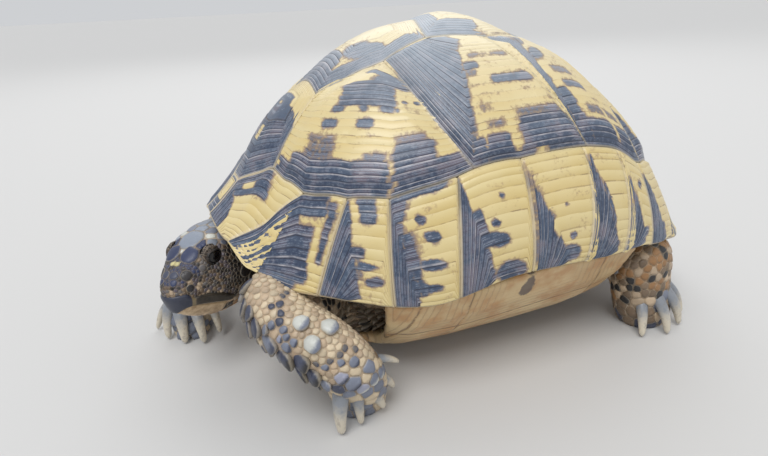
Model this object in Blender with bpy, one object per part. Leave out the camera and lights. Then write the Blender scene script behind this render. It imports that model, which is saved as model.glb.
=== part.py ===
"""Spur-thighed tortoise, life size: scutes, trunk, plastron, head, neck, legs and tail as separate solids.

The tortoise stands on Z = 0 with its head toward -X and its left side toward -Y.
The shell is one smooth dome surface, addressed by (angle, height): angle runs round the rim from the
nuchal scute in front (0) over the left side to the supracaudal scute behind (pi), and height runs from
the rim (0) to the crown (1). The scutes are polygons on that surface, drawn on a flattened disc.
"""

import math

import bmesh
import bpy
from mathutils import Matrix, Vector

MM = 0.001

# Driving dimensions
SHELL_HALF_LENGTH = 95 * MM
SHELL_HALF_WIDTH = 66.6 * MM
BRIDGE_HEIGHT = 40 * MM  # seam between marginals and bridge, above the floor
DOME_HEIGHT = 76.3 * MM  # crown above that seam
CROWN_SHIFT = -6.6 * MM  # the crown lies a little in front of the middle
PLAN_POWER = 2.37  # superellipse of the rim in plan
WALL_POWER = 1.21  # how fast the wall draws in with height
CROWN_POWER = 1.13  # how fast it rises
FRONT_FLARE, REAR_FLARE, SIDE_TUCK = 0.143, 0.166, 0.032
FLARE_TOP = 0.3  # height where the flare of the rim ends
# Height of the rim over the bridge seam, at angles round the left side
RIM_WAVE = (
    (0.0, 18.0), (0.26, 14.0), (0.44, 7.3), (0.7, 2.6), (1.2, -2.5), (1.5, 3.0),
    (1.85, 0.8), (2.15, -3.0), (2.45, -9.0), (2.8, -12.5), (math.pi, -14.0),
)
GAP = 0.3 * MM
SCUTE_THICKNESS = 3.0 * MM
RIM_THICKNESS = 4.6 * MM
SEAM_GROOVE = 0.4 * MM
SEAM_STEP = 13 * MM  # longest straight piece of a seam
SIDE_RECESS, END_RECESS = 0.02, 0.22  # how far the skin draws in under the rim, at the bridge and at the ends
PLASTRON_CLEARANCE = 11 * MM
PLASTRON_THICKNESS = 3.2 * MM
BRIDGE_FRONT, BRIDGE_REAR = -50 * MM, 36 * MM
HEAD_SCALE = 1.06
SNOUT = Vector((-112.8, -17.0, 39.3)) * MM
HEAD_YAW, HEAD_PITCH, HEAD_ROLL = 44, -1.5, -3  # degrees; turned to the left, nose slightly down
LEG_SIDES = 14
CLAW_ROOT = 4 * MM  # how far a claw is sunk in its toe

# Corners where seams meet, as (angle, height)
CORNERS = {
    "nuchal_rim": (0.035, 0.0), "nuchal_top": (0.045, 0.14),
    "v1_c1_m1": (0.308, 0.249), "v1_v2": (0.285, 0.487), "v2_c1_c2": (0.741, 0.65),
    "v2_v3": (1.108, 0.764), "v3_c2_c3": (1.693, 0.74), "v3_v4": (2.26, 0.735),
    "v4_c3_c4": (2.42, 0.6), "v4_v5": (2.72, 0.51), "v5_c4": (2.70, 0.235), "v5_tail": (2.94, 0.20),
    "c1_c2": (1.36, 0.335), "c2_c3": (1.755, 0.343), "c3_c4": (2.1, 0.268),
}
# Lower and upper ends of the seams between neighbouring marginals, M1/M2 to M11/supracaudal
MARGINAL_SEAMS = (
    ((0.275, 0), (0.587, 0.253)), ((0.78, 0), (0.847, 0.27)), ((1.072, 0), (1.035, 0.285)),
    ((1.294, 0), (1.299, 0.328)), ((1.517, 0), (1.518, 0.335)), ((1.659, 0), (1.732, 0.344)),
    ((1.82, 0), (1.912, 0.319)), ((1.995, 0), (2.031, 0.274)), ((2.227, 0), (2.34, 0.25)),
    ((2.53, 0), (2.6, 0.24)), ((2.89, 0), (2.94, 0.20)),
)


def material(name, colour, roughness):
    made = bpy.data.materials.new(name)
    made.use_nodes = True
    shader = made.node_tree.nodes["Principled BSDF"]
    shader.inputs["Base Color"].default_value = (*colour, 1)
    shader.inputs["Roughness"].default_value = roughness
    shader.inputs["Metallic"].default_value = 0
    return made


def signed_power(value, power):
    return math.copysign(abs(value) ** power, value)


def rim_wave(angle):
    """Height of the rim over the bridge seam, smooth between the RIM_WAVE stations."""
    around = abs(math.atan2(math.sin(angle), math.cos(angle)))
    for (a, low), (b, high) in zip(RIM_WAVE, RIM_WAVE[1:]):
        if around <= b:
            share = (around - a) / (b - a)
            return (low + (high - low) * share * share * (3 - 2 * share)) * MM
    return RIM_WAVE[-1][1] * MM


def dome_point(angle, height):
    cosine, sine = math.cos(angle), math.sin(angle)
    front, rear, side = max(cosine, 0) ** 2, max(-cosine, 0) ** 2, sine * sine
    flare = FRONT_FLARE * front + REAR_FLARE * rear - SIDE_TUCK * side
    rise = height * math.pi / 2
    reach = (1 - flare) * math.cos(rise) ** WALL_POWER
    reach += flare * max(1 - height / FLARE_TOP, 0) ** 2
    rim_x = -SHELL_HALF_LENGTH * signed_power(cosine, 2 / PLAN_POWER)
    rim_y = -SHELL_HALF_WIDTH * signed_power(sine, 2 / PLAN_POWER)
    rim_z = rim_wave(angle)
    x = CROWN_SHIFT + (rim_x - CROWN_SHIFT) * reach
    z = rim_z + (DOME_HEIGHT - rim_z) * math.sin(rise) ** CROWN_POWER
    return Vector((x, rim_y * reach, z + BRIDGE_HEIGHT))


def to_disc(corner):
    angle, height = corner
    return Vector(((height - 1) * math.cos(angle), (height - 1) * math.sin(angle)))


def from_disc(spot):
    height = min(max(1 - spot.length, 0), 0.9999)
    return math.atan2(-spot.y, -spot.x), height


def surface(spot):
    """Point and outward normal of the dome at a spot of the disc."""
    step = 0.004
    inner = spot * min(1, (1 - 2 * step) / max(spot.length, step))
    along = [dome_point(*from_disc(inner + Vector(d))) for d in ((step, 0), (-step, 0), (0, step), (0, -step))]
    normal = (along[0] - along[1]).cross(along[2] - along[3]).normalized()
    return dome_point(*from_disc(spot)), normal


def thickness(spot):
    height = from_disc(spot)[1]
    return SCUTE_THICKNESS + (RIM_THICKNESS - SCUTE_THICKNESS) * max(1 - height / FLARE_TOP, 0)


def seam_line(a, b):
    """Disc points from corner a up to, but not including, corner b, the same ones from either side."""
    if a > b:
        return (seam_line(b, a) + [to_disc(a)])[:0:-1]
    count = max(1, math.ceil((dome_point(*a) - dome_point(*b)).length / SEAM_STEP - 0.01))
    if a[1] == 0 and b[1] == 0:
        start = a[0] + 2 * math.pi if b[0] - a[0] > math.pi else a[0]
        return [to_disc((start + (b[0] - start) * i / count, 0)) for i in range(count)]
    return [to_disc(a).lerp(to_disc(b), i / count) for i in range(count)]


def outline(corners):
    spots = []
    for a, b in zip(corners, corners[1:] + corners[:1]):
        spots += seam_line(a, b)
    return spots


def mirrored(corners):
    return [(-angle, height) for angle, height in reversed(corners)]


def both_sides(names):
    """Corners named for the left side, closed over the midline by their mirror images."""
    left = [CORNERS[name] for name in names]
    return left + mirrored(left)


def scute_outlines():
    """Every scute of the carapace: name, corners, and how far its middle stands proud."""
    c = CORNERS
    rims = [c["nuchal_rim"]] + [seam[0] for seam in MARGINAL_SEAMS]
    tops = [c["v1_c1_m1"]] + [seam[1] for seam in MARGINAL_SEAMS]
    found = [
        ("nuchal", both_sides(["nuchal_rim", "nuchal_top"]), 0.2),
        ("vertebral_1", both_sides(["nuchal_top", "v1_c1_m1", "v1_v2"]), 1.3),
        ("vertebral_2", both_sides(["v1_v2", "v2_c1_c2", "v2_v3"]), 1.6),
        ("vertebral_3", both_sides(["v2_v3", "v3_c2_c3", "v3_v4"]), 1.6),
        ("vertebral_4", both_sides(["v3_v4", "v4_c3_c4", "v4_v5"]), 1.6),
        ("vertebral_5", both_sides(["v4_v5", "v5_c4", "v5_tail"]), 1.4),
        ("supracaudal", both_sides(["v5_tail"]) + [(-rims[11][0], 0), rims[11]], 0.8),
    ]
    costals = [
        [c["v1_c1_m1"], *tops[1:5], c["c1_c2"], c["v2_c1_c2"], c["v1_v2"]],
        [c["c1_c2"], tops[5], tops[6], c["c2_c3"], c["v3_c2_c3"], c["v2_v3"], c["v2_c1_c2"]],
        [c["c2_c3"], tops[7], tops[8], c["c3_c4"], c["v4_c3_c4"], c["v3_v4"], c["v3_c2_c3"]],
        [c["c3_c4"], tops[9], tops[10], c["v5_c4"], c["v4_v5"], c["v4_c3_c4"]],
    ]
    extra_tops = {1: ["nuchal_top"], 5: ["c1_c2"], 7: ["c2_c3"], 9: ["c3_c4"], 11: ["v5_c4"]}
    for side, turn in (("left", list), ("right", mirrored)):
        for number, corners in enumerate(costals, 1):
            found.append((f"costal_{side}_{number}", turn(corners), 1.6))
        for number in range(1, 12):
            between = [c[name] for name in extra_tops.get(number, [])]
            upper = [tops[number - 1], *between, tops[number]]
            if number == 1:
                upper = [c["nuchal_top"], tops[0], tops[1]]
            corners = [rims[number], *reversed(upper), rims[number - 1]]
            found.append((f"marginal_{side}_{number}", turn(corners), 0.7))
    return found


def centroid(spots):
    return sum(spots, Vector((0, 0))) / len(spots)


def outward(spots):
    """The outline turned so that its faces point out of the shell."""
    area = sum(a.cross(b) for a, b in zip(spots, spots[1:] + spots[:1]))
    return spots if area > 0 else spots[::-1]


def inset_loop(points, normals, distance):
    """A closed loop on the shell moved inwards by a distance, measured square to its edges."""
    moved = []
    for i, point in enumerate(points):
        before = (point - points[i - 1]).normalized()
        after = (points[(i + 1) % len(points)] - point).normalized()
        inward_a = normals[i].cross(before).normalized()
        inward_b = normals[i].cross(after).normalized()
        middle = (inward_a + inward_b).normalized()
        moved.append(point + middle * distance / max(middle.dot(inward_a), 0.4))
    return moved


def add_object(name, points, faces, look):
    mesh = bpy.data.meshes.new(name)
    mesh.from_pydata([tuple(p) for p in points], [], faces)
    mesh.update()
    made = bpy.data.objects.new(name, mesh)
    bpy.context.collection.objects.link(made)
    mesh.materials.append(look)
    recalculate(made)
    return made


def recalculate(target):
    """Triangulates, so that every cut meets the same faces, and turns the faces outwards."""
    shape = bmesh.new()
    shape.from_mesh(target.data)
    bmesh.ops.triangulate(shape, faces=shape.faces)
    bmesh.ops.recalc_face_normals(shape, faces=shape.faces)
    if shape.calc_volume(signed=True) < 0:
        bmesh.ops.reverse_faces(shape, faces=shape.faces)
    shape.to_mesh(target.data)
    shape.free()


def ring_faces(first, second, count):
    """Quads between two rings of vertices whose indices start at first and second."""
    return [(first + i, first + (i + 1) % count, second + (i + 1) % count, second + i) for i in range(count)]


def fan(ring, centre, count):
    return [(ring + i, ring + (i + 1) % count, centre) for i in range(count)]


def apply_boolean(target, other, operation):
    """Applies one Boolean to the target and removes the other object."""
    modifier = target.modifiers.new("cut", "BOOLEAN")
    modifier.operation = operation
    modifier.solver = "EXACT"
    modifier.object = other
    graph = bpy.context.evaluated_depsgraph_get()
    result = bpy.data.meshes.new_from_object(target.evaluated_get(graph))
    target.modifiers.remove(modifier)
    target.data = result
    bpy.data.objects.remove(other)
    shape = bmesh.new()
    shape.from_mesh(result)
    bmesh.ops.triangulate(shape, faces=shape.faces)
    bmesh.ops.remove_doubles(shape, verts=shape.verts, dist=0.02 * MM)
    bmesh.ops.dissolve_degenerate(shape, edges=shape.edges, dist=0.02 * MM)
    bmesh.ops.holes_fill(shape, edges=[edge for edge in shape.edges if edge.is_boundary])
    shape.to_mesh(result)
    shape.free()


def puffed_copy(source, clearance):
    """A copy of a solid grown by the clearance on every face, to cut a neighbour with."""
    copy = source.copy()
    copy.data = source.data.copy()
    bpy.context.collection.objects.link(copy)
    shape = bmesh.new()
    shape.from_mesh(copy.data)
    bmesh.ops.recalc_face_normals(shape, faces=shape.faces)
    moves = []
    for vertex in shape.verts:
        facing = min(vertex.normal.dot(face.normal) for face in vertex.link_faces)
        moves.append(vertex.normal * clearance / max(facing, 0.3))
    for vertex, move in zip(shape.verts, moves):
        vertex.co += move
    shape.to_mesh(copy.data)
    shape.free()
    return copy


def keep_largest(target):
    """Drops the slivers that a cut leaves beside the main body."""
    shape = bmesh.new()
    shape.from_mesh(target.data)
    bodies, left = [], set(shape.verts)
    while left:
        body, reached = set(), [left.pop()]
        while reached:
            vertex = reached.pop()
            body.add(vertex)
            for edge in vertex.link_edges:
                other = edge.other_vert(vertex)
                if other in left:
                    left.discard(other)
                    reached.append(other)
        bodies.append(body)
    bodies.sort(key=len)
    bmesh.ops.delete(shape, geom=[v for body in bodies[:-1] for v in body], context="VERTS")
    shape.to_mesh(target.data)
    shape.free()


def cut_clear(target, neighbours):
    """Cuts the neighbours and the clearance round them away. The second, closer cut takes the slips
    that the first leaves at sharp edges."""
    for clearance in (GAP * 1.5, GAP * 0.4):
        for neighbour in neighbours:
            apply_boolean(target, puffed_copy(neighbour, clearance), "DIFFERENCE")
        keep_largest(target)


def add_scute(name, corners, crown, look):
    spots = outward(outline(corners))
    middle = centroid(spots)
    count = len(spots)
    seams = [surface(spot) for spot in spots]
    points = [p for p, _ in seams]
    normals = [n for _, n in seams]
    edge = inset_loop(points, normals, GAP / 2 + 0.02 * MM)
    deep = [e - n * thickness(s) for e, n, s in zip(edge, normals, spots)]
    outer = [e - n * SEAM_GROOVE for e, n in zip(edge, normals)]
    rings = [deep, outer]
    for share, proud in ((0.84, 0.3), (0.45, crown * 0.85)):
        ring = []
        for spot in spots:
            point, normal = surface(middle.lerp(spot, share))
            ring.append(point + normal * proud * MM)
        rings.append(ring)
    top, normal = surface(middle)
    points = [p for ring in rings for p in ring] + [top + normal * crown * MM, top - normal * thickness(middle)]
    faces = [face for k in range(3) for face in ring_faces(k * count, (k + 1) * count, count)]
    faces += fan(3 * count, 4 * count, count)
    faces += [face[::-1] for face in fan(0, 4 * count + 1, count)]
    return add_object(name, points, faces, look)


def plate_height(x, y):
    """Outer face of the plastron: flat, turned up a little at the gular and anal ends and at its edges."""
    front = max(-x - 60 * MM, 0) / (20 * MM)
    rear = max(x - 58 * MM, 0) / (18 * MM)
    side = abs(y) / half_plate(x)
    return PLASTRON_CLEARANCE + (3.0 * front ** 2 + 2.0 * rear ** 2 + 1.2 * min(side, 1) ** 6) * MM


PLATE_PLAN = (
    (-80, 10), (-76, 18), (-66, 28), (-56, 33), (-50, 37), (-42, 41), (-25, 43), (0, 43.5),
    (22, 43), (36, 39), (44, 35), (56, 32), (66, 25), (72, 18), (77, 8),
)  # x and half width of the plastron, mm


def half_plate(x):
    for (a, low), (b, high) in zip(PLATE_PLAN, PLATE_PLAN[1:]):
        if x <= b * MM:
            share = max((x / MM - a) / (b - a), 0)
            return (low + (high - low) * share) * MM
    return PLATE_PLAN[-1][1] * MM


def rim_angle(x):
    """Angle on the left where the rim reaches a given x."""
    low, high = 0.0, math.pi
    for _ in range(40):
        middle = (low + high) / 2
        if dome_point(middle, 0).x < x:
            low = middle
        else:
            high = middle
    return low


def bridge_point(x, side, share):
    """Outer face of the bridge, from the plastron's edge (share 0) up to the marginals (share 1)."""
    spread = (x - (BRIDGE_FRONT + BRIDGE_REAR) / 2) * (0.08 * share)
    top = dome_point(rim_angle(x + spread), 0)
    foot = Vector((x, -half_plate(x), plate_height(x, half_plate(x))))
    top = Vector((top.x, top.y + 1.2 * MM, top.z - 0.9 * MM))
    point = foot.lerp(top, share)
    point += Vector((0, -1, -1)) * math.sin(share * math.pi) * 2.2 * MM
    return Vector((point.x, point.y * side, point.z))


def add_plastron(marginals, look):
    """Plate and both bridges as one sheet, given its thickness inwards and cut clear of the rim."""
    rows = [a for a, _ in PLATE_PLAN]
    columns = (-1, -0.75, -0.5, -0.25, 0, 0.25, 0.5, 0.75, 1)
    shares = (0.35, 0.7, 1.0)
    shape = bmesh.new()
    grid = []
    for row in rows:
        x = row * MM
        line = []
        for column in columns:
            y = half_plate(x) * column
            notch = 7 * MM * (1 - abs(column)) if row == rows[-1] else 0
            line.append(shape.verts.new((x - notch, y, plate_height(x - notch, y))))
        grid.append(line)
    for upper, lower in zip(grid, grid[1:]):
        for k in range(len(columns) - 1):
            shape.faces.new((upper[k], upper[k + 1], lower[k + 1], lower[k]))
    inside = [i for i, row in enumerate(rows) if BRIDGE_FRONT <= row * MM <= BRIDGE_REAR]
    for side, edge in ((1, 0), (-1, -1)):
        wings = []
        for i in inside:
            x = rows[i] * MM
            wings.append([grid[i][edge]] + [shape.verts.new(bridge_point(x, side, s)) for s in shares])
        for first, second in zip(wings, wings[1:]):
            for k in range(len(shares)):
                shape.faces.new((first[k], first[k + 1], second[k + 1], second[k]))
    bmesh.ops.recalc_face_normals(shape, faces=shape.faces)
    middle = min(shape.faces, key=lambda face: face.calc_center_median().length)
    if middle.normal.z > 0:
        bmesh.ops.reverse_faces(shape, faces=shape.faces)
    mesh = bpy.data.meshes.new("plastron")
    shape.to_mesh(mesh)
    shape.free()
    made = bpy.data.objects.new("plastron", mesh)
    bpy.context.collection.objects.link(made)
    mesh.materials.append(look)
    thick = made.modifiers.new("thickness", "SOLIDIFY")
    thick.thickness = PLASTRON_THICKNESS
    thick.offset = -1
    graph = bpy.context.evaluated_depsgraph_get()
    solid = bpy.data.meshes.new_from_object(made.evaluated_get(graph))
    made.modifiers.clear()
    made.data = solid
    cut_clear(made, marginals)
    return made


def add_trunk(scutes, look):
    """The body inside the shell: its top follows the underside of the scutes, its ends draw in."""
    points, index, faces = [], {}, []

    def vertex(spot):
        key = (round(spot.x, 5), round(spot.y, 5))
        if key not in index:
            point, normal = surface(spot)
            index[key] = len(points)
            points.append(point - normal * (thickness(spot) + GAP))
        return index[key]

    rim = set()
    for _, corners, _ in scutes:
        spots = outward(outline(corners))
        ring = [vertex(spot) for spot in spots]
        rim |= {(from_disc(spot)[0], i) for spot, i in zip(spots, ring) if spot.length > 0.9999}
        middle = vertex(centroid(spots))
        faces += [(ring[i], ring[(i + 1) % len(ring)], middle) for i in range(len(ring))]
    rim = sorted({i: angle for angle, i in rim}.items(), key=lambda item: item[1])
    edge = [i for i, _ in rim]
    pocket, belly = [], []
    for i, angle in rim:
        ends = math.cos(angle) ** 2
        start = points[i]
        shrink = 1 - SIDE_RECESS - END_RECESS * ends
        pocket.append(len(points))
        points.append(Vector((start.x * shrink, start.y * shrink, start.z + (6.5 * ends - 3.5) * MM)))
        half = 38 * MM if start.x < 30 * MM else 31 * MM
        y = max(min(start.y * (0.58 + 0.1 * ends), half), -half)
        x = max(min(start.x * 0.88, 60 * MM), -63 * MM)
        belly.append(len(points))
        points.append(Vector((x, y, plate_height(x, y) + PLASTRON_THICKNESS + 1.3 * GAP)))
    loops = [edge, pocket, belly]
    for upper, lower in zip(loops, loops[1:]):
        for k in range(len(edge)):
            after = (k + 1) % len(edge)
            faces.append((upper[k], upper[after], lower[after], lower[k]))
    points.append(Vector((0, 0, PLASTRON_CLEARANCE + PLASTRON_THICKNESS + 1.3 * GAP)))
    faces += [(belly[k], belly[(k + 1) % len(belly)], len(points) - 1) for k in range(len(belly))]
    return add_object("trunk", points, faces, look)


def section(centre, along, wide_toward, half_wide, half_deep, sides, squareness=2.2):
    """A ring of points round a centre, square to along, its wide way toward wide_toward."""
    along = along.normalized()
    wide = (wide_toward - along * wide_toward.dot(along)).normalized()
    deep = along.cross(wide)
    ring = []
    for i in range(sides):
        turn = 2 * math.pi * i / sides
        across = signed_power(math.cos(turn), 2 / squareness) * half_wide
        down = signed_power(math.sin(turn), 2 / squareness) * half_deep
        ring.append(centre + wide * across + deep * down)
    return ring


def add_loft(name, rings, look):
    """Closed solid through rings of equal count, with flat ends."""
    sides = len(rings[0])
    points = [p for ring in rings for p in ring]
    faces = [face for k in range(len(rings) - 1) for face in ring_faces(k * sides, (k + 1) * sides, sides)]
    last = (len(rings) - 1) * sides
    faces.append(tuple(range(sides)))
    faces.append(tuple(reversed(range(last, last + sides))))
    return add_object(name, points, faces, look)


def stations_to_rings(stations, wide_toward, sides):
    """Stations are (x, y, z, half width, half depth) in mm above the floor; the last ring lies level."""
    centres = [Vector(s[:3]) * MM for s in stations]
    rings = []
    for i, station in enumerate(stations):
        before = centres[max(i - 1, 0)]
        after = centres[min(i + 1, len(centres) - 1)]
        along = after - before
        if stations[i][2] <= 0:
            along = Vector((0, 0, -1))
        rings.append(section(centres[i], along, wide_toward, station[3] * MM, station[4] * MM, sides))
    return rings


def claw(root, tip, bow, radius, sides=6):
    """Curved horn from root to tip, bowed sideways by the vector bow; points and faces of a closed cone."""
    points, faces = [], []
    steps = 4
    for k in range(steps):
        share = k / steps
        centre = root.lerp(tip, share) + bow * math.sin(share * math.pi)
        ahead = root.lerp(tip, share + 0.05) + bow * math.sin((share + 0.05) * math.pi)
        size = radius * (1 - share ** 1.7 * 0.75)
        points += section(centre, ahead - centre, bow, size, size * 1.15, sides)
        if k:
            faces += ring_faces((k - 1) * sides, k * sides, sides)
    points.append(tip)
    faces += fan((steps - 1) * sides, len(points) - 1, sides)
    faces.append(tuple(reversed(range(sides))))
    return points, faces


def join_claws(foot, claws, look):
    """Unites the claws, given as (root, tip, bow, radius) in mm, with their foot."""
    for root, tip, bow, radius in claws:
        root, tip = Vector(root) * MM, Vector(tip) * MM
        root -= (tip - root).normalized() * CLAW_ROOT
        points, faces = claw(root, tip, Vector(bow) * MM, radius * MM)
        apply_boolean(foot, add_object("claw", points, faces, look), "UNION")


LEFT_UPPER_ARM = (
    (-58, -24, 34, 8, 8), (-66, -31.5, 33.2, 9, 9), (-71.5, -37.5, 32.4, 9.3, 9), (-75, -42, 32.7, 9, 8.7),
)
LEFT_FORE = (
    (-81.8, -32.6, 45, 2.8, 2.6), (-82.6, -34.4, 43.6, 5.6, 5), (-83.4, -37.4, 40.8, 8, 7.4),
    (-82.8, -41.8, 37.2, 9.4, 8.8), (-79.8, -47.5, 33.9, 9.7, 9),
    (-73, -54, 29.2, 9.6, 9), (-66.4, -57, 22.2, 9.2, 8.4), (-62.6, -55.5, 14.2, 9.2, 7.5),
    (-61, -52.5, 6.5, 8.6, 6.5), (-60.6, -51.5, 0, 7.8, 5.6),
)
LEFT_FORE_CLAWS = (
    ((-69, -59, 13), (-70.8, -61.3, 0.4), (-1, -1.2, 0.3), 2.5),
    ((-64.5, -59.5, 11), (-64, -60, 0.8), (-0.3, -1.2, 0.3), 1.8),
    ((-60, -57.5, 10), (-55.4, -58, 2.6), (0.5, -1.2, 0.5), 2.0),
    ((-57, -55.5, 13), (-50.6, -55, 7), (1, -1, 1), 2.0),
    ((-56, -55, 18.5), (-48, -54, 15), (0.8, -0.6, 1), 1.5),
)
RIGHT_UPPER_ARM = ((-58, 24, 33, 8, 8), (-67, 34, 32, 9, 9), (-74, 42, 31, 9.5, 9.5), (-82, 45, 30, 9.5, 9))
RIGHT_FORE = (
    (-79, 52, 39, 4, 3.5), (-80.5, 51, 37, 8, 7), (-83.5, 48, 33.5, 10.5, 8.6), (-88, 44, 29, 11.2, 9),
    (-94, 38.5, 24, 11, 9), (-99.5, 33, 18.5, 10.4, 8.6), (-104, 28, 12, 10, 8.4),
    (-106.5, 25, 5.5, 9.4, 8), (-107, 24, 0, 8, 7),
)
RIGHT_FORE_CLAWS = (
    ((-113, 28, 11), (-121, 30, 0.4), (-1, 0.5, 2), 2.2),
    ((-114, 23.5, 11), (-117, 20, 0.4), (-1, -0.5, 1.5), 2.5),
    ((-111, 19, 11), (-111, 13.5, 0.4), (0, -1.5, 1.5), 2.6),
    ((-105, 17.5, 11), (-104, 10, 0.6), (0, -1.5, 1.5), 2.4),
    ((-99.5, 20, 12), (-97.5, 12.5, 2), (0.5, -1.5, 1), 2.0),
)
LEFT_THIGH = (
    (36, -24, 34, 10, 10), (45, -33, 32, 12, 11.5), (51, -41, 29, 12.5, 11), (55, -47, 25, 12, 10.5),
)
LEFT_HIND = (
    (54, -50, 36, 5, 5), (54.5, -49.6, 33, 9.5, 8.5), (55.2, -49, 27, 12.2, 10.4), (56.2, -49, 19, 12, 10.2),
    (57.5, -49.3, 11, 11.5, 10), (59, -49.5, 4.5, 11, 9.8), (59.3, -49.5, 0, 9.6, 8.6),
)
LEFT_HIND_CLAWS = (
    ((51, -56, 10), (48, -61, 0.5), (-0.5, -1, 1), 2.1),
    ((57, -58, 11), (58, -63.5, 0.4), (0, -1.5, 1), 2.3),
    ((63.5, -56, 11.5), (67, -60.5, 0.4), (0.5, -1.5, 1), 2.3),
    ((68, -52, 12), (74, -55, 0.8), (1, -1, 1), 2.1),
    ((62, -46, 24), (72.5, -43, 18.5), (0, 0, 0.8), 2.6),  # the spur on the back of the thigh
)
RIGHT_THIGH = ((34, 24, 34, 10, 10), (40, 33, 32, 12, 11.5), (44, 41, 29, 12.5, 11), (45, 47, 25, 12, 10.5))
RIGHT_HIND = (
    (45.5, 50, 36, 5, 5), (45.3, 49.6, 33, 9.5, 8.5), (45, 49, 27, 12.2, 10.4), (44.4, 49, 19, 12, 10.2),
    (43.6, 49.3, 11, 11.5, 10), (42.8, 49.5, 4.5, 11, 9.8), (42.6, 49.5, 0, 9.6, 8.6),
)
RIGHT_HIND_CLAWS = (
    ((33, 54, 10), (27.5, 58, 0.5), (-1, 0.5, 1), 2.1),
    ((38, 57, 11), (34, 63, 0.4), (-0.5, 1, 1), 2.3),
    ((44, 58, 11), (43, 64, 0.4), (0, 1.5, 1), 2.3),
    ((50, 56, 11), (52.5, 61.5, 0.8), (0.5, 1, 1), 2.1),
    ((51, 46, 24), (61.5, 43, 18.5), (0, 0, 0.8), 2.6),  # the spur on the back of the thigh
)


def add_leg(name, upper_stations, stations, claws, wide_toward, inner, rims, flesh, horn):
    """One leg in two nodes: the lower one stands on its flat sole, the upper one ends against it."""
    wide_toward = Vector(wide_toward)
    lower = add_loft(f"{name}_lower", stations_to_rings(stations, wide_toward, LEG_SIDES), flesh)
    upper = add_loft(f"{name}_upper", stations_to_rings(upper_stations, Vector((0, 0, 1)), LEG_SIDES), flesh)
    join_claws(lower, claws, horn)
    cut_clear(lower, inner + rims)
    cut_clear(upper, inner + [lower])


# Stations of the head in its own frame, mm: back from the snout, half width, top, bottom
HEAD_STATIONS = (
    (0.0, 2.6, 0.9, -5.0), (1.6, 4.4, 2.6, -8.8), (4.5, 6.3, 4.8, -11.8), (8.5, 8.4, 7.6, -14.4),
    (13.0, 10.7, 10.1, -16.3), (18.0, 12.4, 11.7, -17.6), (24.0, 13.4, 12.3, -18.2),
    (30.0, 13.4, 11.7, -18.0), (36.0, 12.0, 9.4, -16.0),
)
EYE_PLACE = (14.5, 6.4, 5.2)
EYE_RADIUS = 3.5
MOUTH_LEVEL, MOUTH_BACK = -7.4, 17.0


def head_matrix():
    turn = Matrix.Rotation(math.radians(HEAD_YAW), 4, "Z")
    turn = turn @ Matrix.Rotation(math.radians(HEAD_PITCH), 4, "Y")
    turn = turn @ Matrix.Rotation(math.radians(HEAD_ROLL), 4, "X")
    return Matrix.Translation(SNOUT) @ turn @ Matrix.Scale(HEAD_SCALE * MM, 4)


def head_ring(station, sides=16):
    """Section of the head: a domed crown, full cheeks and a narrower throat."""
    x, half, top, bottom = station
    middle = (top * 0.4 + bottom * 0.6) * 0.5 + 1.2
    ring = []
    for i in range(sides):
        turn = 2 * math.pi * (i + 0.5) / sides
        across = signed_power(math.cos(turn), 0.85) * half
        up = signed_power(math.sin(turn), 0.8)
        reach = top - middle if up > 0 else middle - bottom
        across *= 1 - 0.16 * max(-up, 0)
        ring.append(Vector((x, across, middle + up * reach)))
    return ring


def add_box(name, low, high):
    shape = bmesh.new()
    size = Vector(high) - Vector(low)
    bmesh.ops.create_cube(shape, size=1)
    bmesh.ops.scale(shape, vec=size, verts=shape.verts)
    bmesh.ops.translate(shape, vec=(Vector(low) + Vector(high)) / 2, verts=shape.verts)
    mesh = bpy.data.meshes.new(name)
    shape.to_mesh(mesh)
    shape.free()
    made = bpy.data.objects.new(name, mesh)
    bpy.context.collection.objects.link(made)
    return made


def add_ball(name, centre, radius, look=None):
    shape = bmesh.new()
    bmesh.ops.create_uvsphere(shape, u_segments=10, v_segments=7, radius=radius)
    bmesh.ops.translate(shape, vec=centre, verts=shape.verts)
    mesh = bpy.data.meshes.new(name)
    shape.to_mesh(mesh)
    shape.free()
    made = bpy.data.objects.new(name, mesh)
    bpy.context.collection.objects.link(made)
    if look:
        mesh.materials.append(look)
    return made


def add_head(flesh, horn, eye_look):
    """Head, lower jaw and eyes, each shaped in the head's own frame and set in place before it is cut."""
    place = head_matrix()

    def placed(piece):
        piece.data.transform(place)
        return piece

    rings = [head_ring(station) for station in HEAD_STATIONS]
    head = placed(add_loft("head", rings, flesh))
    jaw = placed(add_loft("lower_jaw", rings, horn))
    slit = GAP / MM / HEAD_SCALE
    keep = placed(add_box("keep", (1.6, -20, -30), (MOUTH_BACK, 20, MOUTH_LEVEL)))
    apply_boolean(jaw, keep, "INTERSECT")
    cut = placed(add_box("cut", (1.6 - slit, -20, -30), (MOUTH_BACK + slit, 20, MOUTH_LEVEL + slit)))
    apply_boolean(head, cut, "DIFFERENCE")
    for side, sign in (("left", -1), ("right", 1)):
        centre = Vector((EYE_PLACE[0], EYE_PLACE[1] * sign, EYE_PLACE[2]))
        socket = placed(add_ball("socket", centre, EYE_RADIUS + slit * 1.2))
        apply_boolean(head, socket, "DIFFERENCE")
        placed(add_ball(f"eye_{side}", centre, EYE_RADIUS, eye_look))


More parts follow.
